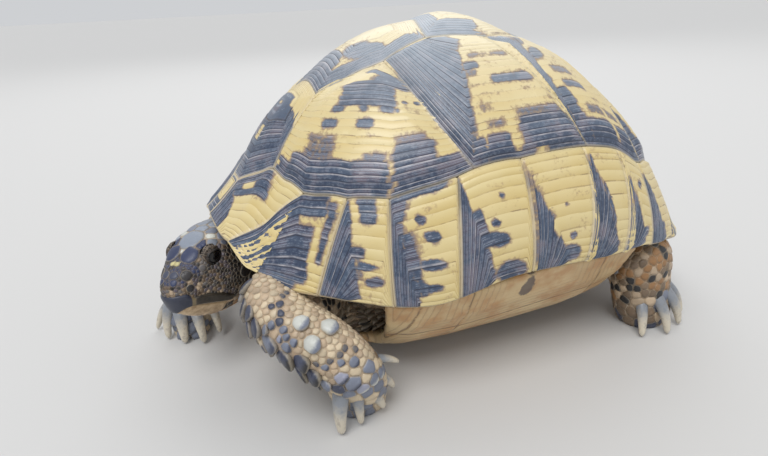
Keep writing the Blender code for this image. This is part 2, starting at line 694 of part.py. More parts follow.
def add_neck(neighbours, look):
    """Neck from the back of the head, bending into the front pocket of the trunk."""
    place = head_matrix()
    back = place @ Vector((HEAD_STATIONS[-1][0] + GAP / MM, 0, -0.7))
    along = back - place @ Vector((30, 0, -0.7))
    path = [back, back + Vector((4.2, 3.2, -0.4)) * MM]
    path += [Vector(spot) * MM for spot in ((-74, 14.5, 36.5), (-66, 14, 34.5), (-57, 10, 32))]
    directions = [along] + [after - before for before, after in zip(path, path[2:])] + [path[4] - path[3]]
    directions[1] = along.normalized() + directions[1].normalized()
    halves = ((9.8, 11.0), (10.2, 11.2), (11.0, 11.6), (11.8, 12.4), (12.5, 13.5))
    rings = [
        section(centre, direction, Vector((0, 0, 1)), tall * MM, wide * MM, LEG_SIDES)
        for centre, direction, (tall, wide) in zip(path, directions, halves)
    ]
    neck = add_loft("neck", rings, look)
    cut_clear(neck, neighbours)
    return neck


def add_tail(neighbours, look):
    stations = (
        (60, 0, 30, 8, 8), (72, 1, 27, 7, 6.5), (79, 2, 22, 5, 5), (83, 4, 15, 3.4, 3.4),
        (84.5, 6, 9, 1.4, 1.4),
    )
    tail = add_loft("tail", stations_to_rings(stations, Vector((0, 1, 0)), 10), look)
    cut_clear(tail, neighbours)
    return tail


def centre_on_origin():
    """Moves everything so that the middle of its bounding box stands over the origin."""
    bpy.context.view_layer.update()
    graph = bpy.context.evaluated_depsgraph_get()
    low, high = Vector((9, 9, 9)), Vector((-9, -9, -9))
    for piece in bpy.data.objects:
        for corner in piece.evaluated_get(graph).data.vertices:
            low = Vector(map(min, low, corner.co))
            high = Vector(map(max, high, corner.co))
    shift = Matrix.Translation((-(low.x + high.x) / 2, -(low.y + high.y) / 2, -low.z))
    for piece in bpy.data.objects:
        piece.data.transform(shift)


def build():
    for old in list(bpy.data.objects):
        bpy.data.objects.remove(old)
    keratin = material("shell_keratin", (0.62, 0.52, 0.28), 0.45)
    belly = material("plastron_keratin", (0.60, 0.46, 0.25), 0.5)
    flesh = material("scaly_skin", (0.42, 0.33, 0.22), 0.7)
    horn = material("claw_horn", (0.30, 0.28, 0.27), 0.4)
    eye_look = material("eye", (0.02, 0.015, 0.01), 0.1)

    outlines = scute_outlines()
    scutes = {name: add_scute(name, corners, crown, keratin) for name, corners, crown in outlines}
    trunk = add_trunk(outlines, flesh)

    def marginals(side, first, last):
        return [scutes[f"marginal_{side}_{number}"] for number in range(first, last + 1)]

    plate = add_plastron(marginals("left", 3, 8) + marginals("right", 3, 8), belly)

    add_head(flesh, horn, eye_look)
    neck = add_neck([trunk], flesh)
    add_leg("left_foreleg", LEFT_UPPER_ARM, LEFT_FORE, LEFT_FORE_CLAWS, (1, 0, -0.3),
            [trunk, neck, plate], marginals("left", 1, 3), flesh, horn)
    add_leg("right_foreleg", RIGHT_UPPER_ARM, RIGHT_FORE, RIGHT_FORE_CLAWS, (1, 1, -0.3),
            [trunk, neck, plate], marginals("right", 1, 3), flesh, horn)
    add_leg("left_hindleg", LEFT_THIGH, LEFT_HIND, LEFT_HIND_CLAWS, (1, 0.2, 0),
            [trunk, plate], marginals("left", 8, 10), flesh, horn)
    add_leg("right_hindleg", RIGHT_THIGH, RIGHT_HIND, RIGHT_HIND_CLAWS, (1, -0.2, 0),
            [trunk, plate], marginals("right", 8, 10), flesh, horn)
    add_tail([trunk], flesh)
    centre_on_origin()


build()
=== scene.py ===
import bpy
import math
import numpy as np
from mathutils import Matrix, Vector
from mathutils.bvhtree import BVHTree
from mathutils.kdtree import KDTree


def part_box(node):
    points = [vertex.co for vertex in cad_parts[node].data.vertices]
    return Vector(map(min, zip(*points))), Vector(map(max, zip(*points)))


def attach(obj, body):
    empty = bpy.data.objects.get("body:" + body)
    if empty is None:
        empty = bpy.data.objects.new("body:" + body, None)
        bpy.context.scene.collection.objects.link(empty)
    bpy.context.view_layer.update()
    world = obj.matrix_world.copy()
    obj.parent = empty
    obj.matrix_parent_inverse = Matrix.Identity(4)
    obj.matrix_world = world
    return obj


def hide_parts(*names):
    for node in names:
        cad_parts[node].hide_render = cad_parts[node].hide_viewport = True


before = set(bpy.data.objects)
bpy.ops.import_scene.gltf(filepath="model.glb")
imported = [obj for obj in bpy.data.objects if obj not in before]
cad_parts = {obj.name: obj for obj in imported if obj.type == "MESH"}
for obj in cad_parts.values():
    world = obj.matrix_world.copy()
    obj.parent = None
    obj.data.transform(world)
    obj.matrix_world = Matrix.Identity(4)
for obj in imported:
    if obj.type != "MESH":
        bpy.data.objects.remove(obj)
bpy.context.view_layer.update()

mm = 0.001

# the dome, sizes in mm as in the solids; the seam between rim and bridge is at seamHeight
dome = {
    "halfLength": 95.0, "halfWidth": 66.6, "seamHeight": 40.0, "crown": 76.3, "crownShift": -6.6,
    "planPower": 2.37, "wallPower": 1.21, "crownPower": 1.13,
    "frontFlare": 0.143, "rearFlare": 0.166, "sideTuck": 0.032, "flareTop": 0.3,
}
rimWave = (
    (0.0, 18.0), (0.26, 14.0), (0.44, 7.3), (0.7, 2.6), (1.2, -2.5), (1.5, 3.0),
    (1.85, 0.8), (2.15, -3.0), (2.45, -9.0), (2.8, -12.5), (math.pi, -14.0),
)
# where seams meet: angle round the rim from the front, height from rim (0) to crown (1)
junctions = {
    "nuchalRim": (0.035, 0.0), "nuchalTop": (0.045, 0.14), "v1c1m1": (0.308, 0.249), "v1v2": (0.285, 0.487),
    "v2c1c2": (0.741, 0.65), "v2v3": (1.108, 0.764), "v3c2c3": (1.693, 0.74), "v3v4": (2.26, 0.735),
    "v4c3c4": (2.42, 0.6), "v4v5": (2.72, 0.51), "v5c4": (2.70, 0.235), "v5tail": (2.94, 0.20),
    "c1c2": (1.36, 0.335), "c2c3": (1.755, 0.343), "c3c4": (2.1, 0.268),
}
rimSeams = (
    ((0.275, 0), (0.587, 0.253)), ((0.78, 0), (0.847, 0.27)), ((1.072, 0), (1.035, 0.285)),
    ((1.294, 0), (1.299, 0.328)), ((1.517, 0), (1.518, 0.335)), ((1.659, 0), (1.732, 0.344)),
    ((1.82, 0), (1.912, 0.319)), ((1.995, 0), (2.031, 0.274)), ((2.227, 0), (2.34, 0.25)),
    ((2.53, 0), (2.6, 0.24)), ((2.89, 0), (2.94, 0.20)),
)


def smooth(low, high, value):
    share = np.clip((value - low) / (high - low), 0, 1)
    return share * share * (3 - 2 * share)


def signedPower(value, power):
    return np.sign(value) * np.abs(value) ** power


def rimHeight(angle):
    around = np.abs(np.arctan2(np.sin(angle), np.cos(angle)))
    height = np.full_like(around, rimWave[-1][1])
    for (a, low), (b, high) in reversed(list(zip(rimWave, rimWave[1:]))):
        height = np.where(around <= b, low + (high - low) * smooth(a, b, around), height)
    return height


def domePoint(angle, height):
    cosine, sine = np.cos(angle), np.sin(angle)
    front, rear, side = np.maximum(cosine, 0) ** 2, np.maximum(-cosine, 0) ** 2, sine * sine
    flare = dome["frontFlare"] * front + dome["rearFlare"] * rear - dome["sideTuck"] * side
    rise = height * math.pi / 2
    reach = (1 - flare) * np.maximum(np.cos(rise), 0) ** dome["wallPower"]
    reach = reach + flare * np.maximum(1 - height / dome["flareTop"], 0) ** 2
    rimX = -dome["halfLength"] * signedPower(cosine, 2 / dome["planPower"])
    rimY = -dome["halfWidth"] * signedPower(sine, 2 / dome["planPower"])
    rimZ = rimHeight(angle)
    x = dome["crownShift"] + (rimX - dome["crownShift"]) * reach
    z = rimZ + (dome["crown"] - rimZ) * np.sin(rise) ** dome["crownPower"]
    return np.stack([x, rimY * reach, z + dome["seamHeight"]], axis=-1)


def toDisc(corner):
    angle, height = corner
    return np.array([(height - 1) * math.cos(angle), (height - 1) * math.sin(angle)])


def fromDisc(spots):
    height = np.clip(1 - np.hypot(spots[..., 0], spots[..., 1]), 0, 0.9999)
    return np.arctan2(-spots[..., 1], -spots[..., 0]), height


def surface(spots):
    # point and outward normal of the dome at spots of the disc, mm
    step = 0.004
    length = np.maximum(np.hypot(spots[..., 0], spots[..., 1]), step)[..., None]
    inner = spots * np.minimum(1, (1 - 2 * step) / length)
    alongX = domePoint(*fromDisc(inner + [step, 0])) - domePoint(*fromDisc(inner - [step, 0]))
    alongY = domePoint(*fromDisc(inner + [0, step])) - domePoint(*fromDisc(inner - [0, step]))
    normal = np.cross(alongX, alongY)
    normal /= np.linalg.norm(normal, axis=-1, keepdims=True)
    return domePoint(*fromDisc(spots)), normal


def mirrored(corners):
    return [(-angle, height) for angle, height in reversed(corners)]


def bothSides(names):
    left = [junctions[name] for name in names]
    return left + mirrored(left)


def scuteCorners():
    # every scute of the carapace as a list of corners, anticlockwise seen from outside
    j = junctions
    rims = [j["nuchalRim"]] + [seam[0] for seam in rimSeams]
    tops = [j["v1c1m1"]] + [seam[1] for seam in rimSeams]
    found = {
        "nuchal": bothSides(["nuchalRim", "nuchalTop"]),
        "vertebral_1": bothSides(["nuchalTop", "v1c1m1", "v1v2"]),
        "vertebral_2": bothSides(["v1v2", "v2c1c2", "v2v3"]),
        "vertebral_3": bothSides(["v2v3", "v3c2c3", "v3v4"]),
        "vertebral_4": bothSides(["v3v4", "v4c3c4", "v4v5"]),
        "vertebral_5": bothSides(["v4v5", "v5c4", "v5tail"]),
        "supracaudal": bothSides(["v5tail"]) + [(-rims[11][0], 0), rims[11]],
    }
    costals = [
        [j["v1c1m1"], *tops[1:5], j["c1c2"], j["v2c1c2"], j["v1v2"]],
        [j["c1c2"], tops[5], tops[6], j["c2c3"], j["v3c2c3"], j["v2v3"], j["v2c1c2"]],
        [j["c2c3"], tops[7], tops[8], j["c3c4"], j["v4c3c4"], j["v3v4"], j["v3c2c3"]],
        [j["c3c4"], tops[9], tops[10], j["v5c4"], j["v4v5"], j["v4c3c4"]],
    ]
    extraTops = {5: ["c1c2"], 7: ["c2c3"], 9: ["c3c4"], 11: ["v5c4"]}
    for side, turn in (("left", list), ("right", mirrored)):
        for number, corners in enumerate(costals, 1):
            found[f"costal_{side}_{number}"] = turn(corners)
        for number in range(1, 12):
            between = [j[name] for name in extraTops.get(number, [])]
            upper = [tops[number - 1], *between, tops[number]]
            if number == 1:
                upper = [j["nuchalTop"], tops[0], tops[1]]
            found[f"marginal_{side}_{number}"] = turn([rims[number], *reversed(upper), rims[number - 1]])
    return found


# growth of each kind of scute: share of its width and height that grew in front of, behind, over and
# under the areola, number of growth rings, how far its middle stands proud in mm
growth = {
    "nuchal": {"margins": (0.5, 0.1, 0.2, 0.2), "rings": 7, "proud": 0.3},
    "vertebral_1": {"margins": (0.55, 0.12, 0.24, 0.24), "rings": 13, "proud": 1.3},
    "vertebral_2": {"margins": (0.42, 0.22, 0.27, 0.27), "rings": 13, "proud": 1.6},
    "vertebral_3": {"margins": (0.36, 0.26, 0.28, 0.28), "rings": 13, "proud": 1.6},
    "vertebral_4": {"margins": (0.34, 0.28, 0.28, 0.28), "rings": 13, "proud": 1.6},
    "vertebral_5": {"margins": (0.25, 0.45, 0.28, 0.28), "rings": 13, "proud": 1.4},
    "supracaudal": {"margins": (0.75, 0.02, 0.3, 0.3), "rings": 12, "proud": 0.8},
    "costal_1": {"margins": (0.16, 0.22, 0.10, 0.76), "rings": 18, "proud": 1.6},
    "costal_2": {"margins": (0.34, 0.20, 0.05, 0.80), "rings": 18, "proud": 1.6},
    "costal_3": {"margins": (0.34, 0.22, 0.06, 0.78), "rings": 17, "proud": 1.6},
    "costal_4": {"margins": (0.34, 0.22, 0.12, 0.70), "rings": 15, "proud": 1.4},
    "marginal": {"margins": (0.36, 0.01, 0.92, 0.01), "rings": 11, "proud": 0.7},
}


def kindOf(name):
    words = name.split("_")
    if words[0] == "marginal":
        return "marginal"
    return "_".join([words[0], words[-1]]) if len(words) > 1 else words[0]


def alongSide(a, b, share):
    # spots of the disc from corner a to corner b; two rim corners are joined along the rim
    if a[1] == 0 and b[1] == 0:
        start = a[0] + 2 * math.pi if b[0] - a[0] > math.pi else a[0]
        start = a[0] - 2 * math.pi if a[0] - b[0] > math.pi else start
        angle = start + (b[0] - start) * share
        return np.stack([-np.cos(angle), -np.sin(angle)], axis=-1)
    return toDisc(a) + (toDisc(b) - toDisc(a)) * share[:, None]


def outlineOf(corners, sides):
    # spots at side numbers: whole numbers are the corners, the rest lies between
    spots = np.zeros((len(sides), 2))
    for k in range(len(corners)):
        here = np.floor(sides) == k
        spots[here] = alongSide(corners[k], corners[(k + 1) % len(corners)], sides[here] - k)
    return spots


def evenSides(corners, count):
    # side numbers spaced evenly along the outline, in mm
    fine = np.linspace(0, len(corners), len(corners) * 60, endpoint=False)
    points = domePoint(*fromDisc(outlineOf(corners, fine)))
    steps = np.linalg.norm(np.roll(points, -1, axis=0) - points, axis=1)
    run = np.concatenate([[0], np.cumsum(steps)])
    return np.interp(np.arange(count) / count * run[-1], run, np.append(fine, len(corners)))


def areolaFrame(corners, margins, median):
    # anchor and matrix of the map from outline to areola, on the disc
    fine = outlineOf(corners, np.linspace(0, len(corners), len(corners) * 20, endpoint=False))
    centre = fine.mean(axis=0)
    up = -centre / np.linalg.norm(centre)
    back = np.array([-up[1], up[0]])
    if median:
        back, up = np.array([1.0, 0.0]), np.array([0.0, 1.0])
    elif back[0] < 0:
        back = -back
    front, rear, top, bottom = margins
    across, along = (fine - centre) @ back, (fine - centre) @ up
    x = across.min() + np.ptp(across) * front / (front + rear)
    y = along.min() + np.ptp(along) * bottom / (top + bottom)
    anchor = centre + back * x + up * y
    shrink = np.outer(back, back) * (1 - front - rear) + np.outer(up, up) * (1 - top - bottom)
    return anchor, shrink


def scuteSpots(corners, margins, median, sides, rings):
    # disc spots for side numbers and ring numbers (-1 areola's middle, 0 its edge, 1 the seam), as a grid
    outer = outlineOf(corners, sides)
    anchor, shrink = areolaFrame(corners, margins, median)
    inner = anchor + (outer - anchor) @ shrink
    middle = inner.mean(axis=0)
    rings = np.asarray(rings)[:, None, None]
    grown = inner + (outer - inner) * np.maximum(rings, 0)
    return middle + (grown - middle) * np.minimum(1 + rings, 1)


# shader maths: a socket that can be added, multiplied and compared
class Wire:
    def __init__(self, look, socket):
        self.look, self.socket = look, socket

    def maths(self, operation, first, second=0.0):
        return self.look.node("ShaderNodeMath", {"operation": operation}, {0: first, 1: second})

    def __add__(self, other):
        return self.maths("ADD", self, other)

    def __radd__(self, other):
        return self.maths("ADD", other, self)

    def __sub__(self, other):
        return self.maths("SUBTRACT", self, other)

    def __rsub__(self, other):
        return self.maths("SUBTRACT", other, self)

    def __mul__(self, other):
        return self.maths("MULTIPLY", self, other)

    def __rmul__(self, other):
        return self.maths("MULTIPLY", other, self)

    def __truediv__(self, other):
        return self.maths("DIVIDE", self, other)

    def __pow__(self, other):
        return self.maths("POWER", self, other)

    def floor(self):
        return self.maths("FLOOR", self)

    def toWhole(self):  # distance to the nearest whole number
        return self.maths("PINGPONG", self, 0.5)

    def step(self, low, high):  # smooth step from 0 at low to 1 at high, either way round
        return self.look.node("ShaderNodeMapRange", {"interpolation_type": "SMOOTHSTEP"},
                              {0: self, 1: low, 2: high, 3: 0.0, 4: 1.0})


class Look:
    def __init__(self, name):
        self.material = bpy.data.materials.new(name)
        self.material.use_nodes = True
        self.tree = self.material.node_tree
        self.shader = self.tree.nodes["Principled BSDF"]
        self.place = self.node("ShaderNodeTexCoord", {}, {}, "Object")

    def node(self, kind, settings, values, output=0):
        made = self.tree.nodes.new(kind)
        for key, value in settings.items():
            setattr(made, key, value)
        for key, value in values.items():
            self.feed(made.inputs[key], value)
        return Wire(self, made.outputs[output])

    def feed(self, socket, value):
        if isinstance(value, Wire):
            self.tree.links.new(value.socket, socket)
        elif isinstance(value, tuple) and socket.type == "RGBA":
            socket.default_value = (*value, 1.0)
        else:
            socket.default_value = value

    def noise(self, scale, detail=3.0, rough=0.55, where=None, stretch=None, distort=0.0):
        where = where or self.place
        if stretch:
            where = self.node("ShaderNodeVectorMath", {"operation": "MULTIPLY"}, {0: where, 1: stretch})
        values = {"Vector": where, "Scale": scale, "Detail": detail, "Roughness": rough,
                  "Distortion": distort}
        return self.node("ShaderNodeTexNoise", {}, values)

    def cells(self, scale, feature="F1", output=0, where=None):
        values = {"Vector": where or self.place, "Scale": scale}
        return self.node("ShaderNodeTexVoronoi", {"feature": feature}, values, output)

    def attribute(self, name):
        return self.node("ShaderNodeAttribute", {"attribute_name": name}, {}, "Fac")

    def mix(self, share, first, second, blend="MIX"):
        settings = {"data_type": "RGBA", "blend_type": blend}
        return self.node("ShaderNodeMix", settings, {0: share, 6: first, 7: second}, 2)

    def bump(self, height, depth, strength=1.0, under=None):
        values = {"Height": height, "Distance": depth, "Strength": strength}
        if under:
            values["Normal"] = under
        return self.node("ShaderNodeBump", {}, values)

    def finish(self, colour, roughness, normal=None, **constants):
        self.feed(self.shader.inputs["Base Color"], colour)
        self.feed(self.shader.inputs["Roughness"], roughness)
        if normal:
            self.feed(self.shader.inputs["Normal"], normal)
        for key, value in constants.items():
            self.shader.inputs[key.replace("_", " ")].default_value = value
        return self.material

# the dark markings of each kind of scute. Bands: side number from and to, ring number from and to (0 the
# areola's edge, 1 the seam), strength. Gaps clear what the bands laid down. Spots: angle and height on the
# dome, half length along the rim and up the shell in mm, strength
markings = {
    "nuchal": {"bands": ((0, 4, 0.3, 0.9, 0.9),), "gaps": (), "spots": ()},
    "vertebral_1": {
        "bands": ((0, 6, 0.0, 1.0, 1.0), (0, 6, -0.9, 0.0, 0.8)),
        "gaps": ((1.55, 3.45, -0.25, 1.0), (5.2, 5.8, 0.1, 0.35)), "spots": ()},
    "vertebral_2": {
        "bands": ((0.0, 1.95, 0.55, 1.0, 1.0), (3.05, 6.0, 0.55, 1.0, 1.0), (5.0, 6.0, 0.2, 0.6, 0.8)),
        "gaps": (), "spots": ((0.3, 0.66, 6, 5, 0.8), (0.5, 0.69, 4, 3, 1), (-0.4, 0.67, 6, 4, 0.9))},
    "vertebral_3": {
        "bands": ((0.0, 1.0, 0.35, 1.0, 0.9), (3.0, 6.0, 0.3, 1.0, 0.9), (1.0, 3.0, 0.75, 1.0, 0.4)),
        "gaps": ((1.2, 2.8, 0.5, 0.9),), "spots": ((0.5, 0.9, 5, 4, 0.7),)},
    "vertebral_4": {
        "bands": ((0.0, 1.9, 0.45, 1.0, 1.0), (3.1, 6.0, 0.45, 1.0, 1.0)),
        "gaps": ((5.3, 5.7, 0.5, 0.8),), "spots": ((3.14, 0.68, 6, 4, 0.8),)},
    "vertebral_5": {
        "bands": ((0.0, 1.7, 0.4, 1.0, 1.0), (3.3, 6.0, 0.4, 1.0, 1.0)),
        "gaps": ((5.4, 5.6, 0.4, 1.0),), "spots": ((2.95, 0.38, 5, 4, 0.8), (-2.95, 0.38, 5, 4, 0.8))},
    "supracaudal": {
        "bands": ((0.9, 1.9, 0.3, 1.0, 1.0), (2.1, 3.1, 0.3, 1.0, 1.0)), "gaps": (),
        "spots": ((3.0, 0.1, 4, 5, 0.7), (-3.0, 0.1, 4, 5, 0.7))},
    "costal_1": {
        "bands": (
            (0.04, 0.55, 0.80, 1.0, 1.0), (0.5, 2.95, 0.68, 1.0, 1.0), (0.8, 1.55, 0.49, 0.69, 0.55),
            (2.3, 2.9, 0.62, 0.69, 0.6), (3.08, 3.76, 0.56, 1.0, 1.0), (3.1, 3.7, 0.49, 0.57, 0.55),
            (3.7, 5.05, 0.76, 1.0, 1.0), (1.15, 2.95, -0.35, 0.1, 0.9), (1.2, 3.0, 0.13, 0.19, 1.0),
            (2.5, 2.95, 0.19, 0.26, 0.9), (1.85, 2.1, 0.2, 0.29, 0.9), (1.05, 1.4, 0.24, 0.31, 1.0),
            (1.0, 1.42, 0.35, 0.43, 0.9), (1.95, 2.45, 0.35, 0.4, 1.0), (2.0, 2.9, 0.5, 0.53, 0.45),
            (3.2, 3.7, 0.34, 0.365, 0.45), (1.2, 1.6, 0.5, 0.53, 0.5), (3.2, 3.6, 0.22, 0.25, 0.4),
            (4.2, 6.2, -0.6, 0.0, 0.8),
        ),
        "gaps": (),
        "spots": ((1.12, 0.52, 1.3, 0.8, 0.8), (1.05, 0.515, 1.0, 0.7, 0.8), (1.03, 0.56, 2.5, 1.0, 0.9),
                  (1.1, 0.575, 2.4, 0.6, 0.9), (0.9, 0.575, 6, 3, 0.8), (1.02, 0.49, 1.0, 0.7, 0.7))},
    "costal_2": {
        "bands": (
            (5.9, 7.0, 0.1, 1.0, 1.0), (0.0, 0.1, 0.3, 1.0, 1.0), (5.7, 6.95, -0.6, 0.1, 0.7),
            (0.1, 0.88, 0.80, 1.0, 1.0), (0.35, 0.8, 0.69, 0.75, 0.55), (0.25, 0.6, 0.61, 0.64, 0.5),
            (1.05, 2.85, 0.72, 1.0, 1.0), (1.05, 1.9, 0.66, 0.72, 0.6), (0.15, 0.75, 0.39, 0.44, 1.0),
            (0.8, 1.7, 0.37, 0.41, 0.8), (0.1, 0.6, 0.2, 0.26, 1.0), (0.12, 0.55, 0.3, 0.37, 0.6),
            (0.2, 0.7, 0.47, 0.52, 0.4), (0.3, 1.6, 0.49, 0.51, 0.5), (1.2, 2.2, 0.5, 0.53, 0.5),
            (0.3, 1.5, 0.14, 0.16, 0.5), (1.3, 2.1, 0.58, 0.61, 0.5),
        ),
        "gaps": ((0.86, 1.07, 0.55, 0.92), (0.28, 0.36, 0.74, 0.93)),
        "spots": ((1.31, 0.70, 5, 4, 0.8),)},
    "costal_3": {
        "bands": (
            (6.0, 7.0, 0.3, 1.0, 1.0), (0.0, 0.3, 0.45, 1.0, 1.0), (6.1, 6.9, -0.4, 0.3, 0.6),
            (0.3, 2.9, 0.76, 1.0, 1.0), (0.6, 2.0, 0.66, 0.7, 0.6), (0.4, 1.4, 0.42, 0.46, 0.7),
            (1.2, 2.4, 0.52, 0.55, 0.7), (0.4, 1.6, 0.25, 0.29, 0.5),
        ),
        "gaps": ((1.3, 1.45, 0.6, 0.92),), "spots": ((1.9, 0.63, 4, 3, 0.7),)},
    "costal_4": {
        "bands": ((5.0, 6.0, 0.3, 1.0, 1.0), (0.0, 2.8, 0.7, 1.0, 1.0), (0.0, 0.3, 0.4, 1.0, 1.0),
                  (0.6, 2.0, 0.45, 0.5, 0.7), (5.0, 5.9, -0.5, 0.3, 0.6)),
        "gaps": ((1.2, 1.35, 0.6, 1.0),), "spots": ()},
    "marginal_1": {
        "bands": ((1.95, 3.6, 0.86, 1.0, 1.0), (1.88, 2.35, 0.70, 0.86, 0.9), (2.3, 3.0, 0.60, 0.86, 0.8),
                  (3.0, 4.0, 0.3, 1.0, 1.0)),
        "gaps": ((2.35, 2.7, 0.74, 0.82),), "spots": ()},
    "marginal_2": {
        "bands": ((1.97, 3.36, -0.05, 1.0, 1.0), (1.3, 2.0, 0.80, 1.0, 1.0), (1.52, 2.05, 0.08, 0.66, 0.95),
                  (1.1, 1.24, 0.38, 0.92, 1.0)),
        "gaps": (),
        "spots": ((0.6, 0.018, 5.5, 3.2, 0.9), (0.66, 0.06, 5, 3.5, 0.9))},
    "marginal_3": {
        "bands": ((1.93, 3.0, -0.05, 1.0, 1.0), (1.28, 1.68, 0.80, 1.0, 1.0), (1.55, 1.95, 0.44, 0.57, 0.9),
                  (1.65, 1.95, 0.2, 0.44, 0.5)),
        "gaps": (), "spots": ((0.965, 0.115, 3.6, 1.3, 0.9), (1.0, 0.078, 3.0, 1.5, 0.9))},
    "marginal_4": {
        "bands": ((1.93, 3.0, -0.05, 1.0, 1.0), (1.74, 1.95, 0.74, 0.98, 0.8), (1.72, 1.95, 0.1, 0.62, 0.8),
                  (1.2, 1.9, 0.95, 1.0, 0.9)),
        "gaps": (),
        "spots": ((1.16, 0.24, 1.9, 1.3, 1), (1.205, 0.2, 2.7, 1.9, 1), (1.205, 0.13, 4.2, 1.9, 1),
                  (1.195, 0.068, 4.4, 1.4, 0.9))},
    "marginal_5": {
        "bands": ((3.0, 4.0, -0.05, 1.0, 1.0), (2.4, 3.0, 0.3, 0.72, 0.8), (2.7, 3.0, 0.0, 0.3, 0.7)),
        "gaps": (), "spots": ((1.41, 0.19, 1.6, 1.4, 1), (1.41, 0.148, 4.6, 2.6, 0.9),
                              (1.452, 0.035, 5.2, 4.0, 1), (1.435, 0.25, 1.1, 1.0, 0.9))},
    "marginal_6": {
        "bands": ((2.05, 3.0, -0.05, 0.84, 1.0), (2.1, 3.0, 0.84, 1.0, 0.5)),
        "gaps": (), "spots": ((1.6, 0.055, 4.6, 3.0, 0.95), (1.61, 0.11, 1.4, 1.4, 0.9),
                              (1.6, 0.2, 1.0, 1.0, 0.6))},
    "marginal_7": {
        "bands": ((3.1, 4.0, -0.05, 1.0, 1.0), (2.9, 3.1, 0.3, 0.7, 0.8)),
        "gaps": (), "spots": ((1.755, 0.05, 3.2, 2.2, 1), (1.76, 0.12, 1.4, 1.4, 0.8),
                              (1.765, 0.19, 1.3, 1.3, 0.8))},
    "marginal_8": {
        "bands": ((2.2, 3.0, -0.05, 1.0, 1.0),),
        "gaps": (), "spots": ((1.96, 0.21, 1.4, 1.4, 0.8), (1.93, 0.06, 3, 2.2, 0.9))},
    "marginal_9": {"bands": ((3.1, 4.0, -0.05, 1.0, 1.0),), "gaps": (),
                   "spots": ((2.1, 0.06, 3, 2.4, 0.9),)},
    "marginal_10": {"bands": ((2.0, 3.0, -0.05, 1.0, 1.0),), "gaps": (),
                    "spots": ((2.38, 0.08, 3, 3, 0.8),)},
    "marginal_11": {"bands": ((3.0, 4.0, -0.05, 1.0, 1.0),), "gaps": (), "spots": ((2.7, 0.1, 3, 3, 0.8),)},
}

# carapace: one sphere per scute, its rows laid along the growth rings
carapace = {
    "columns": 190, "marginalColumns": 112, "areolaRows": 6, "groove": 0.15, "thickness": 3.0,
    "rimThickness": 1.6,
    "seamRound": 0.5, "rimRound": 1.3, "waviness": 0.1, "seed": 41,
}
shiftX = (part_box("nuchal")[0].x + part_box("supracaudal")[1].x) / 2
shiftY = (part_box("vertebral_3")[0].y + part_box("vertebral_3")[1].y) / 2


def toWorld(points):
    # mm in the shell's own frame to metres in the row frame
    return np.asarray(points) * mm + np.array([shiftX, shiftY, 0.0])


def putAttribute(piece, name, values):
    layer = piece.data.attributes.new(name, "FLOAT", "POINT")
    layer.data.foreach_set("value", np.ascontiguousarray(values, np.float32))


def sphereGrid(name, columns, rows):
    # a sphere to be placed row by row: the object, and each vertex's row (0 is the top pole) and column
    bpy.ops.object.select_all(action="DESELECT")
    bpy.ops.mesh.primitive_uv_sphere_add(segments=columns, ring_count=rows, radius=1, location=(0, 0, 0))
    piece = bpy.context.object
    piece.name = piece.data.name = name
    spots = np.empty(len(piece.data.vertices) * 3, np.float32)
    piece.data.vertices.foreach_get("co", spots)
    spots = spots.reshape(-1, 3).astype(float)
    row = np.rint(np.arccos(np.clip(spots[:, 2], -1, 1)) / math.pi * rows).astype(int)
    column = np.rint(np.arctan2(spots[:, 1], spots[:, 0]) / (2 * math.pi) * columns).astype(int) % columns
    column[(row == 0) | (row == rows)] = 0
    return piece, row, column


def place(piece, points):
    # puts the vertices at points in metres and turns every face outward
    piece.data.vertices.foreach_set("co", np.ascontiguousarray(points, np.float32).ravel())
    piece.data.update()
    bpy.ops.object.select_all(action="DESELECT")
    piece.select_set(True)
    bpy.context.view_layer.objects.active = piece
    bpy.ops.object.mode_set(mode="EDIT")
    bpy.ops.mesh.select_all(action="SELECT")
    bpy.ops.mesh.normals_make_consistent(inside=False)
    bpy.ops.object.mode_set(mode="OBJECT")
    bpy.ops.object.shade_smooth()


def ringEdges(count, chance):
    # growth is slow at first, fastest in middle age, then slow again
    widths = 0.75 + 0.8 * np.sin(math.pi * (np.arange(count) + 0.5) / count) ** 2
    widths = widths + chance.uniform(-0.2, 0.2, count)
    return np.concatenate([[0], np.cumsum(widths) / widths.sum()])


def snapped(ring, edges):
    # markings end at a growth line, so a ring number moves to the nearest one
    return ring if ring <= 0 or ring >= 1 else edges[np.argmin(np.abs(edges - ring))]


